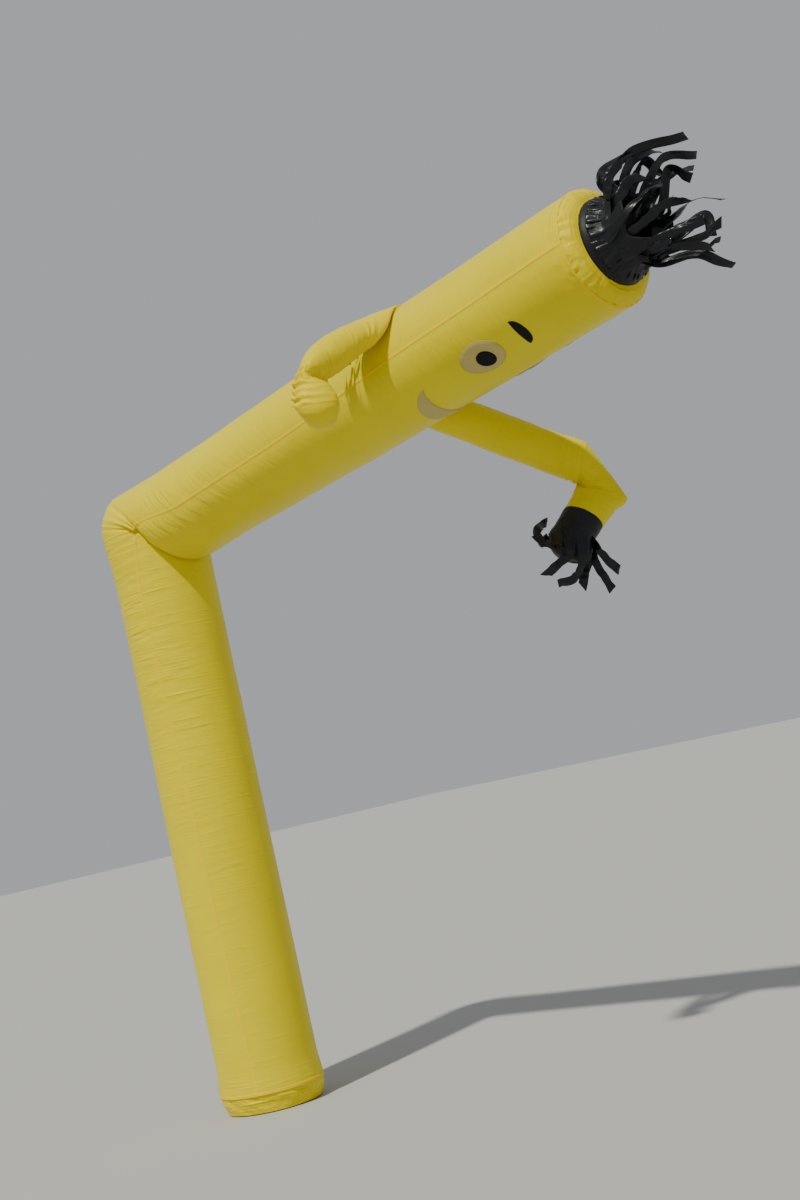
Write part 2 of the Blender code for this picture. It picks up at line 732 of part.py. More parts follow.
# ---- Face patches -----------------------------------------------------------------
def oval_patch(name, side, place, lift, colour):
    """An oval patch on one side of the face."""
    along, aside, half_along, half_around = place
    angle = FACE_CENTRE + side * aside
    half_angle = math.degrees(half_around / TUBE_RADIUS)
    skin = TUBE_RADIUS + lift + PATCH_THICKNESS
    points = [on_upper(along, angle, skin)]
    rows = []
    for share in (1 / 3, 2 / 3, 1.0):
        row = []
        for degrees in around(PATCH_OUTLINE):
            turn = math.radians(degrees)
            row.append(len(points))
            points.append(
                on_upper(
                    along + share * half_along * math.cos(turn),
                    angle + share * half_angle * math.sin(turn),
                    skin,
                )
            )
        rows.append(row)
    first = rows[0]
    faces = [[0, first[(n + 1) % PATCH_OUTLINE], first[n]] for n in range(PATCH_OUTLINE)]
    faces += faces_between(rows)
    piece = add_object(name, points, faces, colour, 0.6)
    thicken(piece, PATCH_THICKNESS)


CRESCENT_SHARES = (0.0, 1 / 3, 2 / 3, 1.0)  # from its inner curve to its outer one


def crescent_patch(name, side, place, colour):
    """A patch between two arcs that meet at both ends, each bulging along the tube."""
    ends_along, aside, half_angle, inner_bulge, outer_bulge = place
    angle = FACE_CENTRE + side * aside
    skin = TUBE_RADIUS + PATCH_LIFT + PATCH_THICKNESS
    points = []
    rows = []
    for step in range(CRESCENT_STEPS + 1):
        across = -math.cos(math.pi * step / CRESCENT_STEPS)
        arch = math.sqrt(max(1.0 - across**2, 0.0))
        row = []
        for share in CRESCENT_SHARES:
            if step in (0, CRESCENT_STEPS) and row:
                row.append(row[0])
                continue
            row.append(len(points))
            bulge = blend(inner_bulge, outer_bulge, share) * arch
            points.append(on_upper(ends_along + bulge, angle + across * half_angle, skin))
        rows.append(row)
    faces = []
    for low, high in zip(rows, rows[1:]):
        for column in range(len(low) - 1):
            corners = []
            for point in (low[column], low[column + 1], high[column + 1], high[column]):
                if point not in corners:
                    corners.append(point)
            faces.append(corners)
    if outer_bulge > inner_bulge:
        faces = [list(reversed(face)) for face in faces]
    piece = add_object(name, points, faces, colour, 0.6)
    thicken(piece, PATCH_THICKNESS)


def face():
    for suffix, side in (("", -1.0), ("_far", 1.0)):
        oval_patch("eye_white" + suffix, side, EYE_WHITE, PATCH_LIFT, CREAM)
        oval_patch("pupil" + suffix, side, PUPIL, PUPIL_LIFT, BLACK)
        crescent_patch("brow" + suffix, side, BROW, BLACK)
    crescent_patch("smile", 0.0, SMILE, CREAM)


def main():
    clear_scene()
    base_cuff()
    body = body_tube()
    cut_air_hole(body, "near_air_hole", NEAR_ROOT)
    cut_air_hole(body, "far_air_hole", FAR_ROOT)
    crown()
    collar()
    streamers()
    near_wrist = arm("near_arm", NEAR_ROOT, NEAR_ARM)
    near_fingers(hand("near_cuff", near_wrist, NEAR_HAND, SEAM_GAP))
    far_wrist = arm("far_arm", FAR_ROOT, FAR_ARM)
    far_fingers(hand("far_cuff", far_wrist, FAR_HAND, FAR_FINGER_GAP))
    face()


main()
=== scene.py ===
"""Looks of the inflatable air dancer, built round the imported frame.

Every CAD solid is replaced by the cloth that it stands for: thin sheets of coated nylon
with their seams, puckers and creases, ribbons for the hair and fingers, and sewn
patches for the face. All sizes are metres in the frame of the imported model, with +Z up
the leg and +X forward over the fold. Round the tube, an angle of 0 is the back of the
leg and the top of the upper length, 90 is its -Y side, and 180 is the front.
"""

import math

import bpy
import numpy as np
from mathutils import Matrix, Vector


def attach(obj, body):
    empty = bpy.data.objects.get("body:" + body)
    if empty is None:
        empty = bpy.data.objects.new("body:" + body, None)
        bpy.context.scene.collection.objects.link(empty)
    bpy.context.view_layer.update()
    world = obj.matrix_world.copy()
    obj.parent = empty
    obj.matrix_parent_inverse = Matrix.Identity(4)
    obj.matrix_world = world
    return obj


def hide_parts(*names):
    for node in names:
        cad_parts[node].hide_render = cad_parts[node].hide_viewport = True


# Sizes shared with the solids
TUBE_RADIUS = 0.2286
WAIST_HEIGHT = 2.631
UPPER_RISE = math.radians(6.4)
CROWN_SEAM = 2.850
MOUTH_ALONG = 2.900
CUFF_HEIGHT = 0.085
CUFF_MOUTH_RADIUS = 0.212
MOUTH_RADIUS = 0.167
COLLAR_OVERLAP = 0.006
COLLAR_LENGTH = 0.092
COLLAR_END_RADIUS = 0.130
SHOULDER_ALONG = 1.800
PLANE_TURN = math.radians(50)
SEAM_GAP = 0.0004

LEG_GIRTH = ((0.085, 1.03), (0.20, 1.00), (1.30, 0.985), (1.70, 0.978), (2.30, 0.98), (2.60, 0.995))
UPPER_GIRTH = (
    (-0.20, 0.985), (0.00, 0.975), (0.30, 0.950), (0.60, 0.942),
    (0.90, 0.962), (1.20, 0.975), (1.45, 1.000), (2.75, 1.000), (2.85, 0.985),
)
CROWN_PROFILE = (
    (2.850, 0.985), (2.854, 0.985), (2.866, 0.960), (2.878, 0.920),
    (2.889, 0.865), (2.896, 0.800), (2.900, 0.731),
)

# The fold at the waist
PINCH_COLUMN = 110
PINCH_ANGLE = 124.0
PINCH_HEIGHT = 2.614
PINCH_GIRTH = 0.99
GROOVE_HEIGHT = 2.447
GROOVE_GIRTH = 0.98
LEG_TOP = 2.701
LEG_TOP_GIRTH = 1.055
UPPER_START = -0.178
UPPER_START_GIRTH = 1.00
UPPER_CREASE_POWER = 2.4
CREASE_SMOOTHINGS = 2
PINCH_FOLDS = 11
PINCH_REACH = 0.055
FACET_BULGE = 0.010
CREASE_REACH = 0.110
SWELL_REACH = 0.300
TWIST_REACH = 0.350

# Sections of the arms: two edges (across, up) in the upright plane through the
# shoulder, how far the section stands out of the plane, and half its thickness
NEAR_ARM = (
    (-0.066, 0.203, -0.177, 0.073, 0.211, 0.070),
    (-0.158, 0.184, -0.203, 0.048, 0.237, 0.075),
    (-0.230, 0.161, -0.243, 0.015, 0.277, 0.072),
    (-0.302, 0.132, -0.285, -0.017, 0.317, 0.068),
    (-0.369, 0.093, -0.333, -0.042, 0.347, 0.062),
    (-0.414, 0.049, -0.376, -0.042, 0.377, 0.052),
    (-0.445, -0.006, -0.401, -0.037, 0.397, 0.040),
    (-0.466, -0.043, -0.397, -0.050, 0.407, 0.034),
    (-0.480, -0.073, -0.350, -0.077, 0.417, 0.040),
    (-0.495, -0.126, -0.325, -0.131, 0.427, 0.050),
    (-0.475, -0.171, -0.326, -0.171, 0.422, 0.048),
    (-0.450, -0.200, -0.348, -0.212, 0.380, 0.028),
    (-0.450, -0.163, -0.347, -0.177, 0.320, 0.024),
    (-0.454, -0.108, -0.338, -0.120, 0.288, 0.030),
    (-0.440, -0.062, -0.336, -0.076, 0.262, 0.035),
    (-0.421, -0.009, -0.336, -0.023, 0.236, 0.040),
)
NEAR_HAND = (
    (-0.410, 0.026, -0.318, 0.014, 0.203, 0.042),
    (-0.400, 0.062, -0.300, 0.046, 0.172, 0.042),
)
FAR_ARM = (
    (0.086, -0.216, 0.174, -0.083, -0.228, 0.078),
    (0.173, -0.272, 0.258, -0.134, -0.228, 0.078),
    (0.328, -0.375, 0.423, -0.236, -0.228, 0.080),
    (0.484, -0.475, 0.568, -0.329, -0.228, 0.080),
    (0.589, -0.543, 0.663, -0.387, -0.228, 0.072),
    (0.583, -0.557, 0.775, -0.647, -0.212, 0.045),
    (0.541, -0.602, 0.707, -0.690, -0.190, 0.060),
    (0.503, -0.641, 0.635, -0.748, -0.165, 0.074),
)
FAR_HAND = (
    (0.455, -0.690, 0.606, -0.777, -0.150, 0.078),
    (0.416, -0.728, 0.580, -0.800, -0.135, 0.078),
)
# The black cloth past the far wrist, drawn together between the fingers
FAR_PALM = (
    (0.408, -0.775, 0.572, -0.835, -0.132, 0.076),
    (0.422, -0.815, 0.556, -0.862, -0.130, 0.062),
    (0.450, -0.842, 0.538, -0.874, -0.130, 0.036),
    (0.478, -0.858, 0.514, -0.872, -0.130, 0.010),
)
NEAR_ROOT = ((1.850, 37.0), (-0.0925, 13.8), (0.037, 15.5))
FAR_ROOT = ((1.660, 245.0), (0.0335, 18.75), (0.0835, -10.3))

# Ribbons: angle of the root, then a knee, a bend and the tip as (across, up), and how
# far out the tip stands
STREAMERS = (
    (20, 0.022, 0.203, 0.127, 0.290, 0.337, 0.320, 0.02),
    (40, -0.026, 0.174, 0.011, 0.230, 0.124, 0.274, 0.08),
    (60, -0.017, 0.137, 0.015, 0.186, 0.065, 0.221, 0.16),
    (80, 0.012, 0.095, 0.055, 0.139, 0.104, 0.152, 0.20),
    (100, 0.020, 0.035, 0.088, 0.094, 0.156, 0.106, 0.24),
    (120, 0.058, -0.022, 0.136, 0.019, 0.218, 0.023, 0.28),
    (140, 0.099, -0.080, 0.180, -0.066, 0.255, -0.058, 0.28),
    (160, 0.094, -0.125, 0.190, -0.123, 0.268, -0.150, 0.25),
    (180, 0.118, -0.152, 0.227, -0.148, 0.338, -0.219, 0.21),
    (200, 0.151, -0.131, 0.238, -0.125, 0.326, -0.105, 0.17),
    (220, 0.184, -0.085, 0.281, -0.065, 0.358, -0.041, 0.13),
    (240, 0.210, -0.045, 0.322, 0.010, 0.324, -0.072, 0.09),
    (260, 0.219, 0.024, 0.298, 0.071, 0.404, 0.049, 0.06),
    (280, 0.190, 0.085, 0.228, 0.185, 0.292, 0.130, 0.14),
    (300, 0.180, 0.135, 0.254, 0.195, 0.357, 0.209, -0.05),
    (320, 0.154, 0.157, 0.241, 0.260, 0.367, 0.247, 0.00),
    (340, 0.108, 0.170, 0.174, 0.258, 0.240, 0.200, -0.02),
    (360, 0.066, 0.186, 0.146, 0.277, 0.270, 0.304, -0.05),
)
FAR_FINGERS = (
    (10, 0.588, -0.822, 0.622, -0.877, 0.663, -0.925, -0.16),
    (70, 0.508, -0.876, 0.467, -0.928, 0.404, -0.932, -0.12),
    (110, 0.461, -0.829, 0.411, -0.861, 0.361, -0.892, -0.10),
    (145, 0.424, -0.790, 0.388, -0.775, 0.352, -0.727, -0.06),
    (200, 0.378, -0.752, 0.390, -0.692, 0.450, -0.662, -0.30),
    (270, 0.545, -0.862, 0.524, -0.906, 0.504, -0.962, -0.15),
    (325, 0.570, -0.867, 0.591, -0.927, 0.619, -0.996, -0.17),
)
# Widths of the ribbons at their roots and farther out, and the twists that they take in turn
HAIR_WIDTHS = (0.074, 0.036)
INNER_HAIR_WIDTHS = (0.066, 0.036)
FAR_FINGER_WIDTHS = (0.070, 0.036)
NEAR_FINGER_WIDTHS = (0.040, 0.026)
INNER_HAIR_POINTS = 38  # of the 61 on a path, where the ribbons between the others end
HAIR_OVER_COLLAR = 0.0035
TWISTS = (0.9, -0.6, 1.3, 0.5, -1.1, 0.7, -0.4, 1.0)
RIBBON_PITCH = 0.07  # from one ribbon to the next on the flat cloth
NEAR_FINGER_ANGLES = (15, 65, 115, 165, 215, 265, 315)
NEAR_FINGER_RISE = 0.012
NEAR_FINGER_REACH = (0.037, 0.074, 0.111)
KNEE_OUT = 0.035
BEND_OUT = 0.020

# Stacked folds of the arms: first and last loop, side, depth and pitch
NEAR_ARM_STACKS = ((74, 116, 170.0, 0.0105, 0.026), (78, 108, 235.0, 0.0050, 0.021))
FAR_ARM_STACKS = ((52, 76, 180.0, 0.0050, 0.030),)

# The face, on the upper length: places along it, then angles, half axes or bulges
FACE_CENTRE = 177.0
EYE_WHITE = (2.302, 38.3, 0.102, 0.071)
PUPIL = (2.313, 35.8, 0.042, 0.036)
BROW = (2.500, 40.0, 15.0, 0.0, 0.043)
SMILE = (1.995, 0.0, 42.0, -0.045, -0.136)

# Cloth detail
COLUMNS = 120  # columns of the body's mesh
LEG_ROWS = 380
FACET_ROWS = 24
UPPER_ROWS = 404
FOOT = CUFF_HEIGHT + SEAM_GAP
# The lengthwise seam: its angle by height up the leg, and by place along the upper
LEG_SEAM = ((0.0, 125.0), (1.30, 117.3), (2.10, 111.5), (2.60, 104.0))
UPPER_SEAM = ((-0.20, 104.0), (0.20, 100.0), (1.00, 100.0), (2.14, 90.5), (2.85, 87.2))
SEAM_WIDTH = 0.013

# Wrinkles across the leg, listed one by one: height, slope, how far round from the seam they start
# and end (metres), and depth
LEG_CREASES = (
    (2.430, 0.06, -0.19, -0.01, 0.0032),
    (2.415, 0.06, -0.17, -0.03, 0.0024),
    (2.315, 0.10, -0.16, 0.00, 0.0036),
    (2.298, 0.10, -0.13, 0.03, 0.0028),
    (2.325, 0.14, 0.00, 0.15, 0.0030),
    (2.200, 0.12, -0.01, 0.09, 0.0020),
    (2.170, 0.10, -0.15, 0.02, 0.0030),
    (2.155, 0.14, -0.14, 0.16, 0.0034),
    (2.060, 0.12, 0.00, 0.20, 0.0030),
    (2.045, 0.10, -0.13, 0.03, 0.0026),
    (1.960, 0.12, 0.02, 0.18, 0.0026),
    (1.930, 0.10, -0.12, 0.08, 0.0024),
    (1.820, 0.12, 0.00, 0.22, 0.0024),
    (1.700, 0.10, -0.12, 0.10, 0.0026),
    (1.690, 0.14, 0.02, 0.20, 0.0020),
    (1.520, 0.12, -0.08, 0.16, 0.0022),
    (1.300, 0.12, -0.12, 0.12, 0.0020),
    (1.060, 0.10, -0.02, 0.20, 0.0018),
    (0.820, 0.10, -0.10, 0.12, 0.0018),
    (0.460, 0.10, -0.12, 0.10, 0.0016),
)

# Wrinkles across the upper length, the same way from the place along it
UPPER_CREASES = (
    (0.25, 0.45, -0.13, -0.02, 0.0042),
    (0.29, 0.50, -0.15, 0.00, 0.0046),
    (0.34, 0.55, -0.14, -0.01, 0.0036),
    (0.40, 0.55, -0.12, 0.02, 0.0028),
    (0.24, 0.80, 0.02, 0.13, 0.0030),
    (0.31, 0.90, 0.01, 0.15, 0.0030),
    (0.38, 0.95, 0.01, 0.16, 0.0028),
    (0.46, 0.95, 0.01, 0.17, 0.0026),
    (0.55, 0.95, 0.01, 0.17, 0.0024),
    (0.65, 0.90, 0.01, 0.17, 0.0022),
    (0.77, 0.85, 0.01, 0.16, 0.0020),
    (0.60, 0.55, -0.14, 0.00, 0.0020),
    (0.92, 0.75, 0.00, 0.15, 0.0018),
    (1.10, 0.60, -0.02, 0.15, 0.0018),
    (2.47, -0.18, 0.00, 0.20, 0.0034),
)

# Depths of the body's folds; the pairs are at the foot and the fold, and at the fold and the crown
HATCH_DEPTHS = (0.0005, 0.0026)
SLANT_DEPTHS = (0.0026, 0.0007)
SEAM_REACH = 0.13  # how far round from the seam these two go
BROAD_DEPTH = 0.0022
RIPPLE_DEPTH = 0.0009
CREASE_DEPTH = 0.0050
PINCH_DEPTH = 0.0050
FACET_DEPTH = 0.0080
ROOT_DEPTH = 0.0012
CROWN_DEPTH = 0.0078
FOOT_DEPTH = 0.0022

# Thickness of the cloth, and widths and heights of the seams
RING_CLOTH = 0.0008
SLEEVE_CLOTH = 0.0006
PATCH_CLOTH = 0.0007
RIBBON_CLOTH = 0.0004
FOOT_HEM = 0.016
CROWN_HEM = 0.011
ROOT_HEM = 0.010
HEM_HEIGHT = 0.0026
SEAM_HEIGHT = 0.0013
ROOT_LIFTS = (0.0011, 0.0071)  # of a sleeve's first two loops over the tube's cloth
HAND_START = 0.006  # from a hand's first loop to its second

# Angles of the points round the crown, cuff and collar, and turns round a sleeve
ROUND = np.arange(240) * 360.0 / 240
ROUND_CLOSED = np.arange(241) * 360.0 / 240
SLEEVE_SIDES = 96
SLEEVE_TURN = np.arange(SLEEVE_SIDES) * 2 * math.pi / SLEEVE_SIDES

UP = np.array([0.0, 0.0, 1.0])
WAIST = np.array([0.0, 0.0, WAIST_HEIGHT])
UPPER = np.array([math.cos(UPPER_RISE), 0.0, math.sin(UPPER_RISE)])
UPPER_TOP = np.array([-math.sin(UPPER_RISE), 0.0, math.cos(UPPER_RISE)])
NEAR_SIDE = np.array([0.0, -1.0, 0.0])
PLANE_ACROSS = np.array([math.cos(PLANE_TURN), math.sin(PLANE_TURN), 0.0])
PLANE_OUT = np.array([math.sin(PLANE_TURN), -math.cos(PLANE_TURN), 0.0])
SHOULDER = WAIST + SHOULDER_ALONG * UPPER
MOUTH = WAIST + MOUTH_ALONG * UPPER
NEAR_FINGER_WAY = 0.82 * PLANE_ACROSS + 0.24 * UP - 0.24 * PLANE_OUT

FLOOR_REACH = 60.0
FLOOR_HEIGHT = -0.004

# The camera, as fitted to the photograph
LENS = 55.4
VIEW_PLACE = (6.692, -5.164, 1.305)
VIEW_RIGHT = Vector((0.6716, 0.7086, -0.2165))
VIEW_UP = Vector((0.2164, 0.0918, 0.9720))
VIEW_AHEAD = Vector((-0.7086, 0.6996, 0.0917))

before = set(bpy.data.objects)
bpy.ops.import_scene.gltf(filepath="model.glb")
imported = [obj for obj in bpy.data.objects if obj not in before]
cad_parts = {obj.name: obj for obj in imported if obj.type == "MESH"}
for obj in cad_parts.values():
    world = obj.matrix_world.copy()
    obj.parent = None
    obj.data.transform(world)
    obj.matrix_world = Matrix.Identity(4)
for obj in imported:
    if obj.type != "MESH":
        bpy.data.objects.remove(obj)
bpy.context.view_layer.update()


# Curves and noise
def smooth_step(value):
    value = np.clip(value, 0.0, 1.0)
    return value * value * (3.0 - 2.0 * value)


def blend(low, high, share):
    return low + (high - low) * share


def unit(vectors):
    length = np.linalg.norm(vectors, axis=-1, keepdims=True)
    return vectors / np.maximum(length, 1e-9)


def shares(count):
    """Even steps from 0 to 1."""
    return np.linspace(0.0, 1.0, count)


def paired(across, along):
    """A grid of places on the flat cloth, from its two coordinates."""
    return np.stack(np.broadcast_arrays(across, along), axis=-1)


def length_along(points):
    """How far each point is along the line through them."""
    return np.concatenate([[0.0], np.cumsum(np.linalg.norm(np.diff(points, axis=0), axis=-1))])


def smoothed(values, times):
    """The values evened out, with the first and the last kept."""
    for _ in range(times):
        values[1:-1] = (values[:-2] + 2 * values[1:-1] + values[2:]) / 4
    return values


def from_table(table, place):
    """A value from a table of places and values, changing smoothly between its rows."""
    places, values = np.array(table).T
    place = np.clip(place, places[0], places[-1])
    row = np.clip(np.searchsorted(places, place) - 1, 0, len(places) - 2)
    share = smooth_step((place - places[row]) / (places[row + 1] - places[row]))
    return blend(values[row], values[row + 1], share)


def curve(knots, steps, roundness=1.0):
    """From the second knot to the last but one, along smooth curves (1) or straight lines (0)."""
    spans = len(knots) - 3
    place = np.linspace(0.0, spans, steps + 1)
    span = np.minimum(place.astype(int), spans - 1)
    share = (place - span).reshape(-1, *[1] * (knots.ndim - 1))
    a, b, c, d = (knots[span + step] for step in range(4))
    smooth = 0.5 * (
        2 * b + (c - a) * share + (2 * a - 5 * b + 4 * c - d) * share**2
        + (3 * b - a - 3 * c + d) * share**3
    )
    return blend(blend(b, c, share), smooth, roundness)


def refine(loops, steps, roundness=1.0):
    """More loops between the given ones."""
    knots = np.concatenate([[2 * loops[0] - loops[1]], loops, [2 * loops[-1] - loops[-2]]])
    return curve(knots, (len(loops) - 1) * steps, roundness)


def round_leg(angle):
    turn = np.radians(angle)[..., None]
    return -np.cos(turn) * np.array([1.0, 0.0, 0.0]) + np.sin(turn) * NEAR_SIDE


def round_upper(angle):
    turn = np.radians(angle)[..., None]
    return np.cos(turn) * UPPER_TOP + np.sin(turn) * NEAR_SIDE


def on_leg(height, angle, radius):
    return radius[..., None] * round_leg(angle) + height[..., None] * UP


def on_upper(along, angle, radius):
    along, angle, radius = np.broadcast_arrays(along, angle, radius)
    return WAIST + along[..., None] * UPPER + radius[..., None] * round_upper(angle)


def in_plane(origin, across, up, out):
    return origin + across * PLANE_ACROSS + up * UP + out * PLANE_OUT


def soft_noise(x, y, seed, period=256):
    """Smooth noise from -1 to 1 over the plane, which repeats after a number of cells in x."""
    lattice = np.random.default_rng(seed).uniform(-1.0, 1.0, (256, 256))
    x, y = np.broadcast_arrays(x, y)
    column = np.floor(x).astype(int)
    row = np.floor(y).astype(int)
    across = smooth_step(x - column)
    left, right = column % period, (column + 1) % period
    low, high = (
        blend(lattice[left, line % 256], lattice[right, line % 256], across) for line in (row, row + 1)
    )
    return blend(low, high, smooth_step(y - row))


def creases(x, y, seed, period=256):
    """Noise with sharp ridges and broad troughs, as cloth wrinkles, from about -0.5 to 1."""
    coarse = 1.0 - 2.2 * np.abs(soft_noise(x, y, seed, period))
    fine = 1.0 - 2.2 * np.abs(soft_noise(2 * x, 2 * y, seed + 1, 2 * period))
    return 0.7 * coarse + 0.3 * fine


def sharp_wave(turn):
    """A wave from -1 to 1 with sharp ridges."""
    return 1.0 - 2.0 * np.abs(np.sin(turn))


def near(distance, reach):
    """1 at a distance of 0, falling smoothly to nothing over about twice the reach."""
    return np.exp(-((np.abs(distance) / reach) ** 1.6))


def fading(distance, start, reach):
    """Rises smoothly to 1 at the start, then fades over the reach."""
    return smooth_step(distance / start) * np.exp(-np.maximum(distance, 0.0) / reach)


# Materials
class Shader:
    """Builds one material's nodes."""

    def __init__(self, name):
        self.material = bpy.data.materials.new(name)
        self.material.use_nodes = True
        self.tree = self.material.node_tree
        self.surface = self.tree.nodes["Principled BSDF"]
        self.place = self.node("TexCoord", {}, "Object")

    def fill(self, node, inputs):
        """Gives inputs their values, or links them to another node's output."""
        for name, value in inputs.items():
            if isinstance(value, bpy.types.NodeSocket):
                self.tree.links.new(value, node.inputs[name])
            else:
                node.inputs[name].default_value = value

    def node(self, kind, inputs, output, **settings):
        made = self.tree.nodes.new("ShaderNode" + kind)
        for name, value in settings.items():
            setattr(made, name, value)
        self.fill(made, inputs)
        return made.outputs[output]

    def scaled(self, value, factor, added=0.0):
        """A value times a factor, with something added."""
        return self.node("Math", {0: value, 1: factor, 2: added}, 0, operation="MULTIPLY_ADD")

    def mixed(self, share, first, second):
        """A colour between two."""
        return self.node("Mix", {0: share, 6: first, 7: second}, 2, data_type="RGBA")

    def attribute(self, name):
        return self.node("Attribute", {}, "Fac", attribute_name=name)

    def cloth_place(self, across, along):
        """Where a point lies on the flat cloth, scaled."""
        flat = self.node("UVMap", {}, "UV", uv_map="cloth")
        return self.node("Mapping", {"Vector": flat, "Scale": (across, along, 1.0)}, "Vector")

    def noise(self, vector, scale, detail=3.0, roughness=0.55, kind="FBM"):
        inputs = {"Vector": vector, "Scale": scale, "Detail": detail, "Roughness": roughness}
        return self.node("TexNoise", inputs, "Fac", noise_type=kind)

    def ripstop(self, pitch):
        """Raised threads in a square grid: 1 on a thread, 0 between threads."""
        inputs = {"Mortar Size": 0.07, "Mortar Smooth": 0.4, "Scale": 1.0, "Brick Width": 1.0}
        inputs |= {"Row Height": 1.0, "Vector": self.cloth_place(1.0 / pitch, 1.0 / pitch)}
        return self.node("TexBrick", inputs, "Fac", offset=0.0)

    def crinkles(self, folds, folds_share, crumple_scale, crumple_share, least, threads):
        """Height of small folds, where the cloth is marked as crinkled, and of threads."""
        crumple = self.noise(self.place, crumple_scale, 4.0, 0.6, "RIDGED_MULTIFRACTAL")
        height = self.scaled(folds, folds_share, self.scaled(crumple, crumple_share))
        marked = self.scaled(self.attribute("crinkle"), 1.0 - least, least)
        return self.scaled(*threads, self.scaled(height, marked))

    def bump(self, height, distance, strength):
        inputs = {"Height": height, "Distance": distance, "Strength": strength}
        self.fill(self.surface, {"Normal": self.node("Bump", inputs, "Normal")})

    def finish(self, colour, roughness, specular):
        looks = {"Base Color": colour, "Roughness": roughness, "Specular IOR Level": specular}
        self.fill(self.surface, looks)
        return self.material


def yellow_cloth(name, light, dark, seam, roughness, crinkle_depth):
    """Coated ripstop nylon: a fine grid of threads, small crinkles and uneven colour, with the seam colour
    painted over crinkled cloth as a glow of light shining through it.
    """
    shader = Shader(name)
    clouds = shader.noise(shader.place, 2.6, 4.0)
    specks = shader.noise(shader.place, 90.0, 2.0)
    threads = shader.ripstop(0.0065)
    colour = shader.mixed(shader.scaled(clouds, 0.9), light, dark)
    colour = shader.mixed(shader.scaled(threads, 0.10), colour, dark)
    # Seams take the seam colour. Crinkled cloth takes part of it as a painted glow of light shining
    # through the layers.
    marks = {0: shader.attribute("sewn"), 1: shader.scaled(shader.attribute("crinkle"), 0.45)}
    seam_and_painted_glow_share = shader.node("Math", marks, 0, operation="MAXIMUM")
    colour = shader.mixed(shader.scaled(seam_and_painted_glow_share, 0.85), colour, seam)
    folds = shader.noise(shader.cloth_place(5.0, 70.0), 1.0, 3.0, 0.6, "RIDGED_MULTIFRACTAL")
    shader.bump(shader.crinkles(folds, 0.8, 22.0, 0.18, 0.1, (threads, 0.035)), crinkle_depth, 0.8)
    shader.fill(shader.surface, {"Specular Tint": (1.0, 0.86, 0.25, 1.0)})
    return shader.finish(colour, shader.scaled(specks, 0.12, roughness - 0.06), 0.3)


def black_cloth(name, roughness, crinkle_depth):
    """Black coated nylon with glossy crinkles."""
    shader = Shader(name)
    folds = shader.noise(shader.cloth_place(40.0, 8.0), 1.0, 3.0, 0.6)
    clouds = shader.noise(shader.place, 6.0, 3.0)
    colour = shader.mixed(clouds, (0.004, 0.004, 0.006, 1.0), (0.016, 0.017, 0.021, 1.0))
    height = shader.crinkles(folds, 0.7, 24.0, 0.3, 0.2, (shader.ripstop(0.004), 0.02))
    shader.bump(height, crinkle_depth, 0.8)
    return shader.finish(colour, shader.scaled(clouds, 0.14, roughness - 0.07), 0.25)


def patch_cloth(name, light, dark):
    """A sewn patch: plain weave, puckered along its stitched edge."""
    shader = Shader(name)
    threads = shader.ripstop(0.0022)
    colour = shader.mixed(shader.noise(shader.place, 9.0, 4.0), light, dark)
    for share in (shader.scaled(threads, 0.12), shader.scaled(shader.attribute("sewn"), 0.5)):
        colour = shader.mixed(share, colour, dark)
    shader.bump(shader.scaled(threads, 0.06, shader.noise(shader.place, 30.0, 4.0)), 0.0016, 0.6)
    return shader.finish(colour, 0.7, 0.2)


YELLOW_LIGHT = (0.88, 0.76, 0.0, 1.0)
YELLOW_DARK = (0.68, 0.54, 0.0, 1.0)
# Colour of the seams, also painted over crinkled and folded cloth as a glow of light shining through it
YELLOW_SEAM_AND_GLOW = (0.93, 0.66, 0.0, 1.0)
CREAM_LIGHT = (0.60, 0.49, 0.17, 1.0)
CREAM_DARK = (0.46, 0.36, 0.11, 1.0)

yellow = yellow_cloth("yellow_nylon", YELLOW_LIGHT, YELLOW_DARK, YELLOW_SEAM_AND_GLOW, 0.42, 0.011)
black = black_cloth("black_nylon", 0.50, 0.004)
ribbon_black = black_cloth("black_ribbon", 0.28, 0.004)
cream = patch_cloth("cream_nylon", CREAM_LIGHT, CREAM_DARK)
patch_black = patch_cloth("black_patch", (0.006, 0.006, 0.006, 1.0), (0.002, 0.002, 0.002, 1.0))


# Meshes
def corners_of(rows, columns, first=0, closed=False):
    """The four corners of each face of a grid, by number from its first point."""
    number = first + np.arange(rows * columns).reshape(rows, columns)
    if closed:
        number = np.concatenate([number, number[:, :1]], axis=1)
    corners = [number[:-1, :-1], number[:-1, 1:], number[1:, 1:], number[1:, :-1]]
    return np.stack(corners, axis=-1).reshape(-1, 4)


def add_object(name, data, material=None):
    if material:
        data.materials.append(material)
    made = bpy.data.objects.new(name, data)
    bpy.context.scene.collection.objects.link(made)
    return made


def add_cloth(name, points, corners, flat, material, marks, node=None, thickness=0.0, offset=-1.0):
    """A sheet with each corner's place on the flat cloth, which stands for a node if one is named.

    It is thickened inwards, or both ways with an offset of 0.
    """
    mesh = bpy.data.meshes.new(name)
    mesh.from_pydata(points.reshape(-1, 3).tolist(), [], corners.tolist())
    layer = mesh.uv_layers.new(name="cloth")
    layer.data.foreach_set("uv", flat.astype(np.float32).ravel())
    for label, values in marks.items():
        data = mesh.attributes.new(label, "FLOAT", "POINT").data
        data.foreach_set("value", np.broadcast_to(values, points.shape[:-1]).astype(np.float32).ravel())
    mesh.shade_smooth()
    piece = add_object(name, mesh, material)
    if thickness:
        wall = piece.modifiers.new("wall", "SOLIDIFY")
        wall.thickness = thickness
        wall.offset = offset
    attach(piece, "root")
    if node:
        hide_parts(node)
    return piece


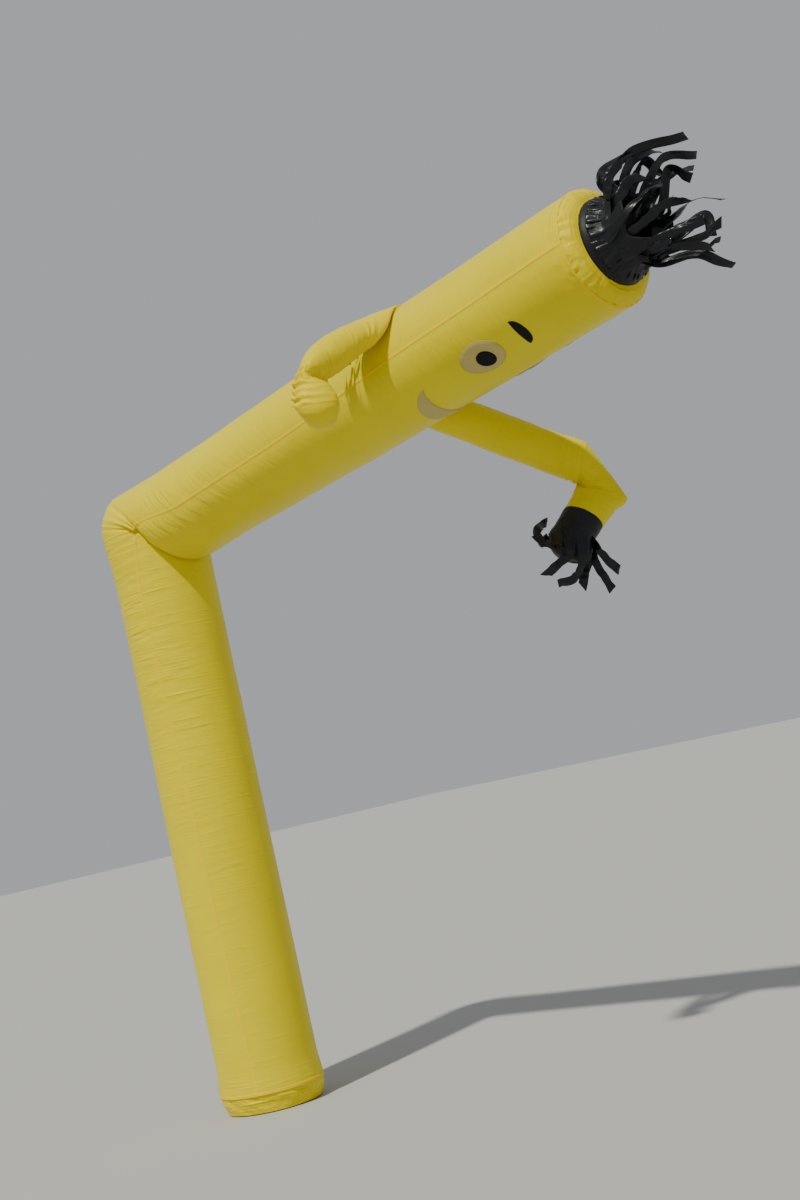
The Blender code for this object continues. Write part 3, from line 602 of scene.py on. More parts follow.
def add_grid(name, points, flat, material, closed=False, node=None, thickness=0.0, **marks):
    """A sheet from a grid of points. A closed one joins its last column to its first."""
    rows, columns = points.shape[:2]
    if closed:
        flat = np.concatenate([flat, flat[:, :1] + [2 * flat[0, -1, 0] - flat[0, -2, 0], 0.0]], axis=1)
        flat[:, -1, 1] = flat[:, 0, 1]
    flat = flat.reshape(-1, 2)[corners_of(rows, flat.shape[1]).ravel()]
    corners = corners_of(rows, columns, closed=closed)
    return add_cloth(name, points, corners, flat, material, marks, node, thickness)


# Body tube with its folded waist
def leg_end(column):
    """Angle, height and girth at which a column of the leg meets its crease."""
    turn = np.minimum(column, 360 - column)
    under = np.clip((turn - PINCH_COLUMN) / (180 - PINCH_COLUMN), 0.0, 1.0)
    over = np.clip(turn / PINCH_COLUMN, 0.0, 1.0)
    is_under = turn >= PINCH_COLUMN
    angle = np.where(is_under, blend(PINCH_ANGLE, 180, under), PINCH_ANGLE * over)
    under_height = blend(GROOVE_HEIGHT, PINCH_HEIGHT, (1.0 - under) ** 2)
    height = np.where(is_under, under_height, blend(LEG_TOP, PINCH_HEIGHT, over**2))
    under_girth = blend(PINCH_GIRTH, GROOVE_GIRTH, under)
    girth = np.where(is_under, under_girth, blend(LEG_TOP_GIRTH, PINCH_GIRTH, over**3))
    return np.where(column <= 180, angle, 360 - angle), height, girth


def end_point(column):
    angle, height, girth = leg_end(column)
    return on_leg(height, angle, girth * TUBE_RADIUS)


PINCH = end_point(np.array(float(PINCH_COLUMN)))


def round_axis(point):
    """Angle round the upper axis, place along it and girth of a point."""
    offset = point - WAIST
    up, side = offset @ UPPER_TOP, offset @ NEAR_SIDE
    return np.degrees(np.arctan2(side, up)) % 360, offset @ UPPER, np.hypot(up, side) / TUBE_RADIUS


def upper_start(column):
    """Angle, place along the upper axis and girth at which its column leaves the crease."""
    column = np.asarray(column, float)
    turn = np.minimum(column, 360 - column)
    is_under = turn >= PINCH_COLUMN
    under = round_axis(end_point(np.where(is_under, column, PINCH_COLUMN)))
    pinch_angle, pinch_along, pinch_girth = round_axis(PINCH)
    share = np.clip(turn / PINCH_COLUMN, 0.0, 1.0)
    over = (
        np.where(column <= 180, pinch_angle * share, 360 - pinch_angle * share),
        blend(pinch_along, UPPER_START, (1.0 - share**2) ** UPPER_CREASE_POWER),
        blend(UPPER_START_GIRTH, pinch_girth, share**8),
    )
    return tuple(np.where(is_under, *values) for values in zip(under, over))


def near_crease(end, table, column, place):
    """Angle and radius of a column at a place on its length, given its end at the crease."""
    end_angle, end_place, end_girth = end
    distance = np.abs(place - end_place)
    angle = blend(end_angle, column, smooth_step(distance / TWIST_REACH))
    missing = from_table(table, end_place) - end_girth
    share = np.clip(distance / CREASE_REACH, 0.0, 1.0)
    inwards = missing * (1.0 - np.sqrt(np.maximum(1.0 - (1.0 - share) ** 2, 0.0)))
    outwards = missing * (1.0 - smooth_step(distance / SWELL_REACH))
    drawn_in = np.where(missing > 0.0, inwards, outwards)
    return angle, TUBE_RADIUS * (from_table(table, place) - drawn_in)


def leg_point(column, distance):
    end = leg_end(column)
    height = end[1] - distance
    angle, radius = near_crease(end, LEG_GIRTH, column, height)
    return on_leg(height, angle, radius), angle, height


def upper_point(column, distance):
    end = upper_start(column)
    along = end[1] + distance
    angle, radius = near_crease(end, UPPER_GIRTH, column, along)
    return on_upper(along, angle, radius), angle, along


def facet_point(column, share):
    """The patch between the two creases over the fold."""
    low = leg_point(column, 0.0)[0]
    high = upper_point(column, 0.0)[0]
    turn = np.minimum(column, 360 - column)
    arch = np.sqrt(np.clip(1.0 - (turn / PINCH_COLUMN) ** 2, 0.0, 1.0))
    out = unit(round_leg(column) + round_upper(column))
    swell = FACET_BULGE * arch * 4.0 * share * (1.0 - share)
    return blend(low, high, share[..., None]) + swell[..., None] * out


def spread(share):
    """Rows get closer together towards 0."""
    return 0.72 * share + 0.28 * share**2.5


def joined(leg, facet, upper):
    """One value for each point of the body, from those of its three parts."""
    parts = ((leg, LEG_ROWS), (facet, FACET_ROWS), (upper, UPPER_ROWS))
    return np.concatenate([np.broadcast_to(value, (rows, COLUMNS + 1)) for value, rows in parts])


class Body:
    """The body's cloth as a grid: row by row up the leg, over the fold and out to the crown."""

    def __init__(self):
        steps = np.arange(COLUMNS + 1) * 360.0 / COLUMNS
        low = np.linspace(1.0, 0.0, LEG_ROWS)[:, None]
        leg_seam = from_table(LEG_SEAM, FOOT + (1.0 - spread(low)) * (PINCH_HEIGHT - FOOT))
        columns = (leg_seam + steps) % 360
        leg, leg_angle, leg_place = leg_point(columns, spread(low) * (leg_end(columns)[1] - FOOT))

        middle = shares(FACET_ROWS + 2)[1:-1, None]
        facet_columns = (LEG_SEAM[-1][1] + steps + 0 * middle) % 360
        facet = facet_point(facet_columns, middle)

        high = spread(shares(UPPER_ROWS)[:, None])
        columns = (from_table(UPPER_SEAM, high * CROWN_SEAM) + steps) % 360
        upper_length = CROWN_SEAM - upper_start(columns)[1]
        upper, upper_angle, upper_place = upper_point(columns, high * upper_length)

        self.first_upper = LEG_ROWS + FACET_ROWS
        self.points = np.concatenate([leg, facet, upper])
        self.angle = joined(leg_angle, facet_columns, upper_angle) % 360
        self.along = joined(leg_place - WAIST_HEIGHT - 1.0, 0.0, upper_place)
        self.height = joined(
            leg_place, WAIST_HEIGHT + 0.12 * middle, upper_place + WAIST_HEIGHT + 0.2
        )
        self.facet_share = joined(0.0, middle, 0.0)
        self.is_leg = joined(1.0, 0.0, 0.0)
        self.is_upper = joined(0.0, 0.0, 1.0)
        self.from_seam = (steps + 0 * self.angle) % 360
        self.around = np.radians((self.from_seam + 180.0) % 360 - 180.0) * TUBE_RADIUS
        self.soften_creases()
        inside = np.where(
            self.is_upper[..., None] > 0.5,
            WAIST + np.maximum(self.along, 0.0)[..., None] * UPPER,
            np.minimum(self.height, WAIST_HEIGHT)[..., None] * UP,
        )
        self.normals = self.wide_normals(inside)
        relief, self.crinkle = body_relief(self)
        self.points = self.points + relief[..., None] * self.normals
        self.points[:, -1] = self.points[:, 0]
        self.normals = self.wide_normals(inside)

    def soften_creases(self):
        """Rounds the sharp creases of the fold, as cloth has a small radius there."""
        rows = np.arange(len(self.points))
        from_fold = np.maximum(LEG_ROWS - 1 - rows, rows - self.first_upper)
        weight = 0.5 * smooth_step(1.0 - from_fold / 3.0)[:, None, None]
        for _ in range(CREASE_SMOOTHINGS):
            middle = (self.points[:-2] + self.points[2:]) / 2
            self.points[1:-1] += weight[1:-1] * (middle - self.points[1:-1])

    def wide_normals(self, inside):
        ring = self.points[:, :-1]
        across = np.roll(ring, -1, axis=1) - np.roll(ring, 1, axis=1)
        padded = np.concatenate([ring[:1], ring[:1], ring, ring[-1:], ring[-1:]])
        normals = unit(np.cross(across, padded[4:] - padded[:-4]))
        normals *= np.sign(np.sum(normals * (ring - inside[:, :-1]), axis=-1).mean())
        at_crease = unit(normals[LEG_ROWS - 4] + normals[self.first_upper + 3])
        missing = np.linalg.norm(normals, axis=-1) < 0.5
        normals = np.where(missing[..., None], at_crease, normals)
        return np.concatenate([normals, normals[:, :1]], axis=1)

    def sample(self, grid, row, column):
        """A value of a grid between its points."""
        row = np.clip(row, 0, len(grid) - 1.001)
        column = column % COLUMNS
        low = np.floor(row).astype(int)
        left = np.floor(column).astype(int)
        right = (column - left)[..., None]
        first, second = (blend(grid[line, left], grid[line, left + 1], right) for line in (low, low + 1))
        return blend(first, second, (row - low)[..., None])

    def skin(self, along, angle, lift):
        """Points at a height over the upper length's cloth."""
        along, angle = np.broadcast_arrays(np.asarray(along, float), np.asarray(angle, float))
        start = upper_start(angle % 360)[1]
        share = (along - start) / (CROWN_SEAM - start)
        row = self.first_upper + np.interp(share, spread(shares(UPPER_ROWS)), np.arange(UPPER_ROWS))
        column = (angle - from_table(UPPER_SEAM, share * CROWN_SEAM)) / 360.0 * COLUMNS
        out = unit(self.sample(self.normals, row, column))
        return self.sample(self.points, row, column) + np.asarray(lift)[..., None] * out


def hand_creases(body, is_region, place, rows):
    """Fine troughs with a raised lip, each along its own line across the tube."""
    total = 0.0 * body.around
    for where, slope, start, end, depth in rows:
        line = where + slope * (body.around - (start + end) / 2)
        distance = place - line - 0.003 * np.sin(body.around * 40.0 + 9.0 * where)
        ends = smooth_step((body.around - start) / 0.04) * smooth_step((end - body.around) / 0.05)
        trough = np.exp(-np.abs(distance) / 0.0038) - 0.7 * np.exp(-(((distance - 0.010) / 0.006) ** 2))
        total = total - depth * ends * trough * is_region
    return total


def pinch_folds(body, centre, seed):
    """Creases that spread from a pinch, and how near each point of the body is to it."""
    offset = body.points - centre
    distance = np.linalg.norm(offset, axis=-1)
    turn = np.arctan2(offset @ UP, offset @ UPPER)
    wobble = soft_noise(turn * 1.5, distance * 12.0, seed)
    wave = sharp_wave(0.5 * PINCH_FOLDS * turn + 1.6 * wobble)
    close = np.exp(-distance / (1.6 * PINCH_REACH))
    return PINCH_DEPTH * wave * fading(distance, 0.030, PINCH_REACH), close


def root_folds(body, root, seed):
    """Puckers round the place where an arm is sewn on."""
    (along, angle), to_edge, to_front = root
    length = 0.5 * (abs(to_edge[0]) + abs(to_front[0])) + 0.045
    arc = (((body.angle - angle) + 180.0) % 360 - 180.0) * math.radians(1.0) * TUBE_RADIUS
    distance = np.hypot(body.along - along, arc)
    turn = np.arctan2(arc, body.along - along)
    wave = np.cos(17.0 * turn + 2.0 * soft_noise(turn * 2.0, distance * 20.0, seed))
    return ROOT_DEPTH * wave * fading(np.maximum(distance - length, 0.0), 0.012, 0.030) * body.is_upper


def facet_folds(body):
    """Folds of the patch over the waist, which run together at the pinches."""
    turn = np.minimum(body.angle, 360.0 - body.angle)
    to_pinch = 1.0 - np.clip(turn / PINCH_COLUMN, 0.0, 1.0)
    reach = smooth_step(to_pinch / 0.08) * np.exp(-to_pinch / 0.35)
    inside = np.sin(np.pi * body.facet_share)
    return FACET_DEPTH * reach * inside * np.sin(5.0 * np.pi * body.facet_share + 3.0 * to_pinch)


def crown_gathers(angle, along):
    """Puckers across the crown's seam: some deep, some shallow, all running lengthwise."""
    depth = 0.65 + 0.55 * soft_noise(angle / 15.0, along / 0.3, 63, 24)
    return creases(angle / 4.5, along / 0.05, 61, 80) * depth


def wrinkles(body):
    """Wrinkles of the leg and the upper length between the fold and the sewn ends."""
    around, height, along = body.around, body.height, body.along
    hatch_depth = blend(*HATCH_DEPTHS, smooth_step((height - 0.5) / 1.7)) * near(around, SEAM_REACH)
    hatch = creases(around / 0.20 + 40, (height - 0.10 * around) / 0.030, 5)
    slant_depth = blend(*SLANT_DEPTHS, smooth_step((along - 0.2) / 1.3)) * near(around - 0.03, SEAM_REACH)
    slanted = creases(around / 0.20 + 40, (along - 0.8 * around) / 0.030, 9)
    broad = BROAD_DEPTH * soft_noise(body.from_seam / 45.0, height / 0.34, 21, 8)
    long_ripples = RIPPLE_DEPTH * soft_noise(body.from_seam / 11.25, height / 1.1, 31, 32)
    relief = (
        body.is_leg * hatch_depth * hatch
        + body.is_upper * slant_depth * slanted
        + (broad + long_ripples) * (body.is_leg + body.is_upper)
        + hand_creases(body, body.is_leg, height, LEG_CREASES)
        + hand_creases(body, body.is_upper, along, UPPER_CREASES)
    )
    return relief * (0.3 + 0.7 * smooth_step((np.abs(around) - 0.006) / 0.016))


def body_relief(body):
    """Height of the cloth's folds at each point of the body, and how crinkled it is, which also sets a
    painted glow of light shining through the cloth.
    """
    relief = wrinkles(body) + facet_folds(body)
    at_seam = near(body.around, 0.15)
    # The crinkle mark sets the bump and a painted glow of light shining through the cloth: near the seam,
    # over the facet, at the pinches, along the creases and near the sewn ends.
    crinkle = 0.12 + 0.5 * at_seam * smooth_step((body.height - 0.9) / 1.5)
    crinkle = crinkle - 0.25 * at_seam * smooth_step((body.along - 0.6) / 1.0) * body.is_upper
    crinkle = crinkle + 0.4 * np.sin(np.pi * body.facet_share)
    for side, seed in ((1.0, 42), (-1.0, 40)):
        folds, close = pinch_folds(body, PINCH * np.array([1.0, side, 1.0]), seed)
        relief = relief + folds
        crinkle = crinkle + 0.6 * close
    rows = np.arange(len(body.points))[:, None]
    crease_lines = near(rows - LEG_ROWS + 1.0, 1.8) + near(rows - body.first_upper, 1.8)
    relief = relief - CREASE_DEPTH * crease_lines
    for root, seed in ((NEAR_ROOT, 51), (FAR_ROOT, 53)):
        relief = relief + root_folds(body, root, seed)

    sewn_end = fading(CROWN_SEAM - body.along, 0.010, 0.034) * body.is_upper
    relief = relief + CROWN_DEPTH * crown_gathers(body.angle, body.along) * sewn_end
    sewn_foot = fading(body.height - FOOT, 0.012, 0.045) * body.is_leg
    relief = relief + FOOT_DEPTH * creases(body.angle / 7.2, body.height / 0.12, 67, 50) * sewn_foot
    # Painted glow along the creases and near the sewn ends, with more crinkle there
    crinkle = crinkle + 0.8 * crease_lines + 0.9 * sewn_end + 0.7 * sewn_foot
    return relief, np.clip(crinkle, 0.0, 1.0)


def add_seam(name, line, side_way, out, width, height=HEM_HEIGHT):
    """A stitched seam as a narrow raised band along a line on the cloth."""
    profile = ((-0.5, -0.1), (-0.40, 0.9), (-0.12, 1.0), (0.0, 0.6), (0.12, 1.0), (0.40, 0.9), (0.5, -0.1))
    points = [line + width * share * side_way + height * lift * out for share, lift in profile]
    across = width * np.array(profile)[:, 0]
    flat = paired(across[None, :], length_along(line)[:, None])
    return add_grid(name, np.stack(points, axis=1), flat, yellow, crinkle=0.3, sewn=1.0)


def body_cloth(body):
    flat = paired(np.radians(body.from_seam) * TUBE_RADIUS, body.height)
    flat[:, -1, 0] = 2 * math.pi * TUBE_RADIUS
    sheet = add_grid("body_cloth", body.points, flat, yellow, node="body_tube", crinkle=body.crinkle)
    side = unit(body.points[:, 1] - body.points[:, -2])
    seam = add_seam("body_seam", body.points[:, 0], side, body.normals[:, 0], SEAM_WIDTH, SEAM_HEIGHT)
    return sheet, seam


# Base cuff, crown and collar
UPPER_AXIS = (WAIST, UPPER, round_upper)


def turned(node, axis, along, radii, relief, material, **marks):
    """A cloth tube of round rings on an axis, with folds given as heights over them."""
    origin, way, round_way = axis
    centres = origin + along[:, None] * way
    points = centres[:, None, :] + (radii[:, None] + relief)[..., None] * round_way(ROUND)[None]
    length = length_along(np.stack([radii, along], axis=-1))
    flat = paired(np.radians(ROUND)[None, :] * radii.max(), length[:, None])
    return add_grid(node + "_cloth", points, flat, material, True, node, RING_CLOTH, **marks)


def base_cuff():
    share = shares(40)
    top_radius = TUBE_RADIUS * LEG_GIRTH[0][1]
    radius = blend(CUFF_MOUTH_RADIUS, top_radius, share**0.9)
    angle, row = ROUND[None, :], share[:, None]
    puckers = creases(angle / 7.2, row * 2.2, 71, 50)
    crumple = creases(angle / 18.0 + 1.5 * row, row * 1.2, 73, 20)
    bell = np.sin(share * math.pi)[:, None]
    relief = bell * (0.0016 * puckers + 0.0060 * crumple)
    # The crinkle mark also paints a glow of light shining through the cloth over the cuff's middle.
    marks = {"crinkle": 0.9 * bell + 0.1, "sewn": near(row, 0.06)}
    axis = (np.zeros(3), UP, round_leg)
    cuff = turned("base_cuff", axis, share * CUFF_HEIGHT, radius, relief, yellow, **marks)
    out = round_leg(ROUND_CLOSED)
    add_seam("foot_seam", top_radius * out + FOOT * UP, UP, out, FOOT_HEM)


def crown():
    share = shares(44)
    places, girths = np.array(CROWN_PROFILE).T
    walked = length_along(np.stack([places, girths * TUBE_RADIUS], axis=-1))
    along = smoothed(np.interp(share, walked / walked[-1], places), 6)
    radius = smoothed(np.interp(share, walked / walked[-1], girths) * TUBE_RADIUS, 6)
    gathers = crown_gathers(ROUND[None, :], along[:, None])
    shape = smooth_step(share / 0.12) * (0.25 + 0.75 * smooth_step((1.0 - share) / 0.6))
    relief = 0.0088 * gathers * shape[:, None] - 0.001
    # The crinkle mark also paints a glow of light shining through the cloth all over the crown.
    marks = {"crinkle": 0.85, "sewn": near(share - 1.0, 0.08)[:, None]}
    cloth = turned("crown", UPPER_AXIS, along, radius, relief, yellow, **marks)
    ring = on_upper(CROWN_SEAM, ROUND_CLOSED, TUBE_RADIUS * UPPER_GIRTH[-1][1])
    add_seam("crown_seam", ring, UPPER, round_upper(ROUND_CLOSED), CROWN_HEM)


def collar_radius(distance):
    return blend(MOUTH_RADIUS, COLLAR_END_RADIUS, smooth_step(distance / COLLAR_LENGTH))


def collar():
    share = shares(30)
    along = MOUTH_ALONG - COLLAR_OVERLAP + share * (COLLAR_OVERLAP + COLLAR_LENGTH)
    radius = np.minimum(collar_radius(along - MOUTH_ALONG), MOUTH_RADIUS - SEAM_GAP)
    angle, row = ROUND[None, :], share[:, None]
    gathers = creases(angle / 6.0, row * 1.6, 81, 60)
    waves = soft_noise(angle / 20.0, row * 1.5, 83, 18)
    relief = smooth_step((row - 0.10) / 0.35) * (0.0012 * gathers + 0.0060 * waves - 0.0030)
    return turned("collar", UPPER_AXIS, along, radius, relief, black, crinkle=0.15)


# Ribbons
class Ring:
    """An oval ring, or a row of them: centre, two half axes and the way that ribbons leave it."""

    def __init__(self, centre, right, front, way):
        self.centre, self.right, self.front, self.way = centre, right, front, way

    def point(self, angle):
        turn = math.radians(angle)
        return self.centre + math.cos(turn) * self.right + math.sin(turn) * self.front

    def side(self, angle):
        """The way round the ring at an angle."""
        ahead = self.point(angle + 3.0) - self.point(angle - 3.0)
        return ahead / np.linalg.norm(ahead)

    def loop(self):
        """Points all the way round."""
        centre, right, front = (part[..., None, :] for part in (self.centre, self.right, self.front))
        return centre + np.cos(SLEEVE_TURN)[:, None] * right + np.sin(SLEEVE_TURN)[:, None] * front

    def moved(self, distance):
        return Ring(self.centre + distance * self.way, self.right, self.front, self.way)

    def last(self):
        return Ring(self.centre[-1], self.right[-1], self.front[-1], self.way[-1])


def smooth_path(knots, steps):
    """Points along a smooth curve through the knots, from the second knot to the last."""
    return curve(np.array([*knots, 2 * knots[-1] - knots[-2]]), steps)


def ways_of(path, side):
    """The way along a ribbon and the way across it at each point, from the side at its root.

    It turns little by little until its wide side faces the viewer.
    """
    way = unit(np.gradient(path, axis=0))
    sides = []
    for ahead, share in zip(way, shares(len(path))):
        level = unit(np.cross(ahead, PLANE_OUT))
        side = blend(side, level * np.sign(level @ side), 0.12 * share)
        side = side - (side @ ahead) * ahead
        side = side / np.linalg.norm(side)
        sides.append(side)
    return way, np.array(sides)


def ribbon_grid(path, first_side, widths, twist, cup, seed):
    """Rows of points across a ribbon that twists and flutters along its path."""
    share = shares(len(path))
    way, sides = ways_of(path, first_side)
    faces_out = np.cross(way, sides)
    loose = smooth_step((share - 0.12) / 0.3)
    turn = 0.9 * twist * smooth_step(share) + 0.6 * soft_noise(share * 4.0, seed * 1.7, seed)
    turn = (turn * loose)[:, None]
    wide = np.cos(turn) * sides + np.sin(turn) * faces_out
    flat_way = np.cos(turn) * faces_out - np.sin(turn) * sides
    full = blend(*widths, smooth_step(share / 0.42))
    full = full * (1.0 + 0.14 * soft_noise(share * 8.0, 0.5, seed + 5) * loose)

    row, across = share[:, None], np.linspace(-0.5, 0.5, 7)[None, :]
    lean = cup * (np.abs(across + 0.1 * np.sin(seed)) - 0.25) * (full * loose)[:, None]
    crease = 0.0030 * creases(across * 2.0 + seed, row * 7.0, seed + 7) * smooth_step(row / 0.1)
    flutter = 0.012 * creases(share * 4.0 + seed, seed * 0.37, seed + 3) * loose
    height = lean + crease + flutter[:, None]
    slant = 0.032 * across * np.sin(2.0 * seed) * smooth_step((row - 0.85) / 0.15)
    return (
        path[:, None, :]
        + slant[..., None] * way[:, None, :]
        + (full[:, None] * across)[..., None] * wide[:, None, :]
        + height[..., None] * flat_way[:, None, :]
    )


def add_ribbons(name, node, ribbons):
    """All the ribbons of one fringe as one piece. Each has its path, side, widths, twist and cup."""
    points, faces, places = [], [], []
    for seed, (path, side, widths, twist, cup) in enumerate(ribbons):
        grid = ribbon_grid(path, side, widths, twist, cup, seed + 2)
        rows, columns = grid.shape[:2]
        faces.append(corners_of(rows, columns, len(points)))
        points += list(grid.reshape(-1, 3))
        across = np.linspace(0, widths[1], columns) + seed * RIBBON_PITCH
        along = np.linspace(0, length_along(path)[-1], rows)
        places.append(paired(across[None, :], along[:, None]).reshape(-1, 2))
    faces = np.concatenate(faces)
    flat = np.concatenate(places)[faces.ravel()]
    marks = {"crinkle": 0.7}
    return add_cloth(name, np.array(points), faces, flat, ribbon_black, marks, node, RIBBON_CLOTH, 0.0)


def path_from(ring, origin, row, steps, before=()):
    """A ribbon's path from its root on a ring through its row's knee, bend and tip."""
    root = ring.point(row[0])
    root_out = (root - origin) @ PLANE_OUT
    outs = (
        blend(root_out, row[7], 1 / 3) + KNEE_OUT,
        blend(root_out, row[7], 2 / 3) + BEND_OUT,
        row[7],
    )
    bends = [in_plane(origin, *place, out) for place, out in zip((row[1:3], row[3:5], row[5:7]), outs)]
    return smooth_path([*(before or (root - 0.012 * ring.way,)), root, *bends], steps)


def on_collar(angle, distance):
    """A point just over the collar's cloth, at a distance from the mouth."""
    radius = collar_radius(np.array(distance)) + HAIR_OVER_COLLAR
    return on_upper(np.array(MOUTH_ALONG + distance), np.array(float(angle)), radius)


def hair():
    centre = MOUTH + (COLLAR_LENGTH - 0.004) * UPPER
    ring = Ring(centre, COLLAR_END_RADIUS * UPPER_TOP, COLLAR_END_RADIUS * NEAR_SIDE, UPPER)
    ribbons, paths = [], []
    for number, row in enumerate(STREAMERS):
        before = (on_collar(row[0], 0.0), on_collar(row[0], 0.032))
        paths.append(path_from(ring, MOUTH, row, 40, before))
        twist = TWISTS[number % len(TWISTS)]
        ribbons.append((paths[-1], ring.side(row[0]), HAIR_WIDTHS, twist, 0.10))
        if number % 2:
            continue
        angle = row[0] + 10.0
        between = [angle] + [0.5 * (a + b) for a, b in zip(row[1:], STREAMERS[number + 1][1:])]
        before = (on_collar(angle, -0.004), on_collar(angle, 0.028))
        inner = path_from(ring, MOUTH, between, 60, before)[:INNER_HAIR_POINTS]
        ribbons.append((inner, ring.side(angle), INNER_HAIR_WIDTHS, -twist, -0.12))
    return add_ribbons("hair_ribbons", "streamers", ribbons), hair_root(paths)


def hair_root(paths):
    """The black cloth past the collar, up to where it is cut into ribbons."""
    strips = []
    for number, path in enumerate(paths):
        places = np.linspace(0.0, 18.0 + 3.0 * math.sin(2.3 * number), 16)
        steps = np.arange(len(path))
        strips.append(np.stack([np.interp(places, steps, values) for values in path.T], axis=-1))
    points = refine(np.array(strips + strips[:1]), 8)[:-1].transpose(1, 0, 2)
    turn = np.arange(points.shape[1])[None, :] / points.shape[1]
    share = shares(len(points))[:, None]
    folds = 0.006 * share * creases(turn * 24.0, share * 1.2, 87, 24) - 0.004
    points = points + folds[..., None] * unit(points - points.mean(axis=1, keepdims=True))
    flat = paired(turn * 0.6, share * 0.12)
    return add_grid("hair_root", points, flat, black, True, thickness=SLEEVE_CLOTH, crinkle=0.6)


# Arms and hands
def sections(rows):
    """The sections in an arm's table, as rings."""
    across_1, up_1, across_2, up_2, out, half_thickness = np.array(rows).T[..., None]
    edge_1 = in_plane(SHOULDER, across_1, up_1, out)
    edge_2 = in_plane(SHOULDER, across_2, up_2, out)
    centres = (edge_1 + edge_2) / 2
    rights = (edge_2 - edge_1) / 2
    ends = [centres[1:2] - centres[:1], centres[2:] - centres[:-2], centres[-1:] - centres[-2:-1]]
    ways = unit(np.concatenate(ends))
    return Ring(centres, rights, unit(np.cross(ways, rights)) * half_thickness, ways)


def sleeve_relief(points, length, depth, bend_depth, seed):
    """Wrinkles of a sleeve, deeper on the inner side of its bends, and where it is crinkled, which also
    paints a glow of light shining through the cloth on the inner side of its bends.
    """
    centres = points.mean(axis=1)
    ways = unit(np.gradient(centres, axis=0))
    step = np.linalg.norm(np.gradient(centres, axis=0), axis=-1, keepdims=True)
    bend = smoothed(np.gradient(ways, axis=0) / np.maximum(step, 1e-4), 6)
    sharpness = np.clip(np.linalg.norm(bend, axis=-1) / 12.0, 0.0, 1.0)[:, None]
    outward = unit(points - centres[:, None])
    inner = np.clip(np.sum(outward * unit(bend)[:, None], axis=-1), 0.0, 1.0)
    turn = np.arange(SLEEVE_SIDES)[None, :] * 6.0 / SLEEVE_SIDES
    across = creases(turn, length[:, None] / 0.030, seed, 6)
    broad = soft_noise(turn, length[:, None] / 0.11, seed + 9, 6)
    crinkle = np.clip(0.35 + 1.2 * sharpness * (0.3 + inner), 0.0, 1.0)
    return (depth + bend_depth * sharpness * inner) * across + 0.0018 * broad, crinkle


def stacked_folds(length, first, last, side, depth, pitch, seed):
    """Deep folds across one side of a sleeve, pressed together there between two rows.

    The rows are counted in loops of points, and the side is an angle round the sleeve.
    """
    row = np.arange(len(length))
    reach = smooth_step((row - first) / 8.0) * smooth_step((last - row) / 8.0)
    turn = np.arange(SLEEVE_SIDES) * 360.0 / SLEEVE_SIDES
    to_side = np.cos(np.radians(turn - side))
    wobble = 1.9 * soft_noise(turn[None, :] / 30.0, length[:, None] / 0.09, seed, 12)
    wave = sharp_wave(np.pi * length[:, None] / pitch + wobble - 1.6 * (1.0 - to_side)[None, :])
    return depth * reach[:, None] * (0.5 + 0.5 * to_side)[None, :] ** 2.6 * wave


def sleeve(node, points, material, depth, bend_depth, seed, stacks=()):
    """A cloth tube through loops of points, with its folds, and its size as a flat sheet."""
    centres = points.mean(axis=1, keepdims=True)
    length = length_along(centres[:, 0])
    relief, crinkle = sleeve_relief(points, length, depth, bend_depth, seed)
    turn = np.arange(SLEEVE_SIDES)[None, :] / SLEEVE_SIDES
    sewn = near(np.minimum(turn, 1.0 - turn), 0.022)
    for stack in stacks:
        folds = stacked_folds(length, *stack, seed + 5)
        relief = relief + folds
        # Stacked folds get more crinkle and the seam colour as a painted glow of light shining through the
        # pressed layers.
        crinkle = np.clip(crinkle + 60.0 * np.abs(folds), 0.0, 1.0)
        sewn = np.clip(sewn + 130.0 * np.abs(folds), 0.0, 1.0)
    row = np.arange(len(points))
    relief = relief * smooth_step(np.minimum(row, row[::-1]) / 4.0)[:, None]
    around = np.roll(points, -1, axis=1) - np.roll(points, 1, axis=1)
    normals = unit(np.cross(around, np.gradient(points, axis=0)))
    normals *= np.sign(np.sum(normals * (points - centres), axis=-1).mean())
    points = points + relief[..., None] * normals
    girth = np.linalg.norm(np.roll(points, -1, axis=1) - points, axis=-1).sum(axis=1)
    width = np.average(girth, weights=np.gradient(length))
    flat = paired(turn * width, length[:, None])
    marks = {"crinkle": crinkle, "sewn": sewn}
    piece = add_grid(node + "_cloth", points, flat, material, True, node, SLEEVE_CLOTH, **marks)
    return piece, points, (width, length[-1])


def root_loop(body, root, lift):
    """The oval where an arm is sewn to the tube, at a height over the cloth."""
    centre, to_edge, to_front = np.array(root)[..., None]
    place = centre + np.cos(SLEEVE_TURN) * to_edge + np.sin(SLEEVE_TURN) * to_front
    return body.skin(*place, lift)


def arm(body, node, root, rows, seed, stacks, roundness):
    rings = sections(rows)
    first = [root_loop(body, root, lift) for lift in ROOT_LIFTS]
    points = refine(np.stack([*first, *rings.loop()]), 10, roundness)
    piece, points, flat_size = sleeve(node, points, yellow, 0.0012, 0.0050, seed, stacks)
    edge = np.concatenate([points[1], points[1, :1]])
    out = unit(np.concatenate([points[3], points[3, :1]]) - edge)
    side = unit(np.cross(unit(np.gradient(edge, axis=0)), out))
    add_seam(node + "_root_seam", edge + 0.0012 * side, out, side, ROOT_HEM)
    return rings.last()


def hand(node, wrist, rows, palm, seed):
    """The black cuff, its flat size, and the ring that its fingers grow from."""
    start = wrist.moved(SEAM_GAP)
    loops = [start.loop(), start.moved(HAND_START).loop(), *sections(rows + palm).loop()]
    points = refine(np.stack(loops), 10)
    piece, _, flat_size = sleeve(node, points, black, 0.0016, 0.003, seed)
    return piece, flat_size, sections(rows).last()


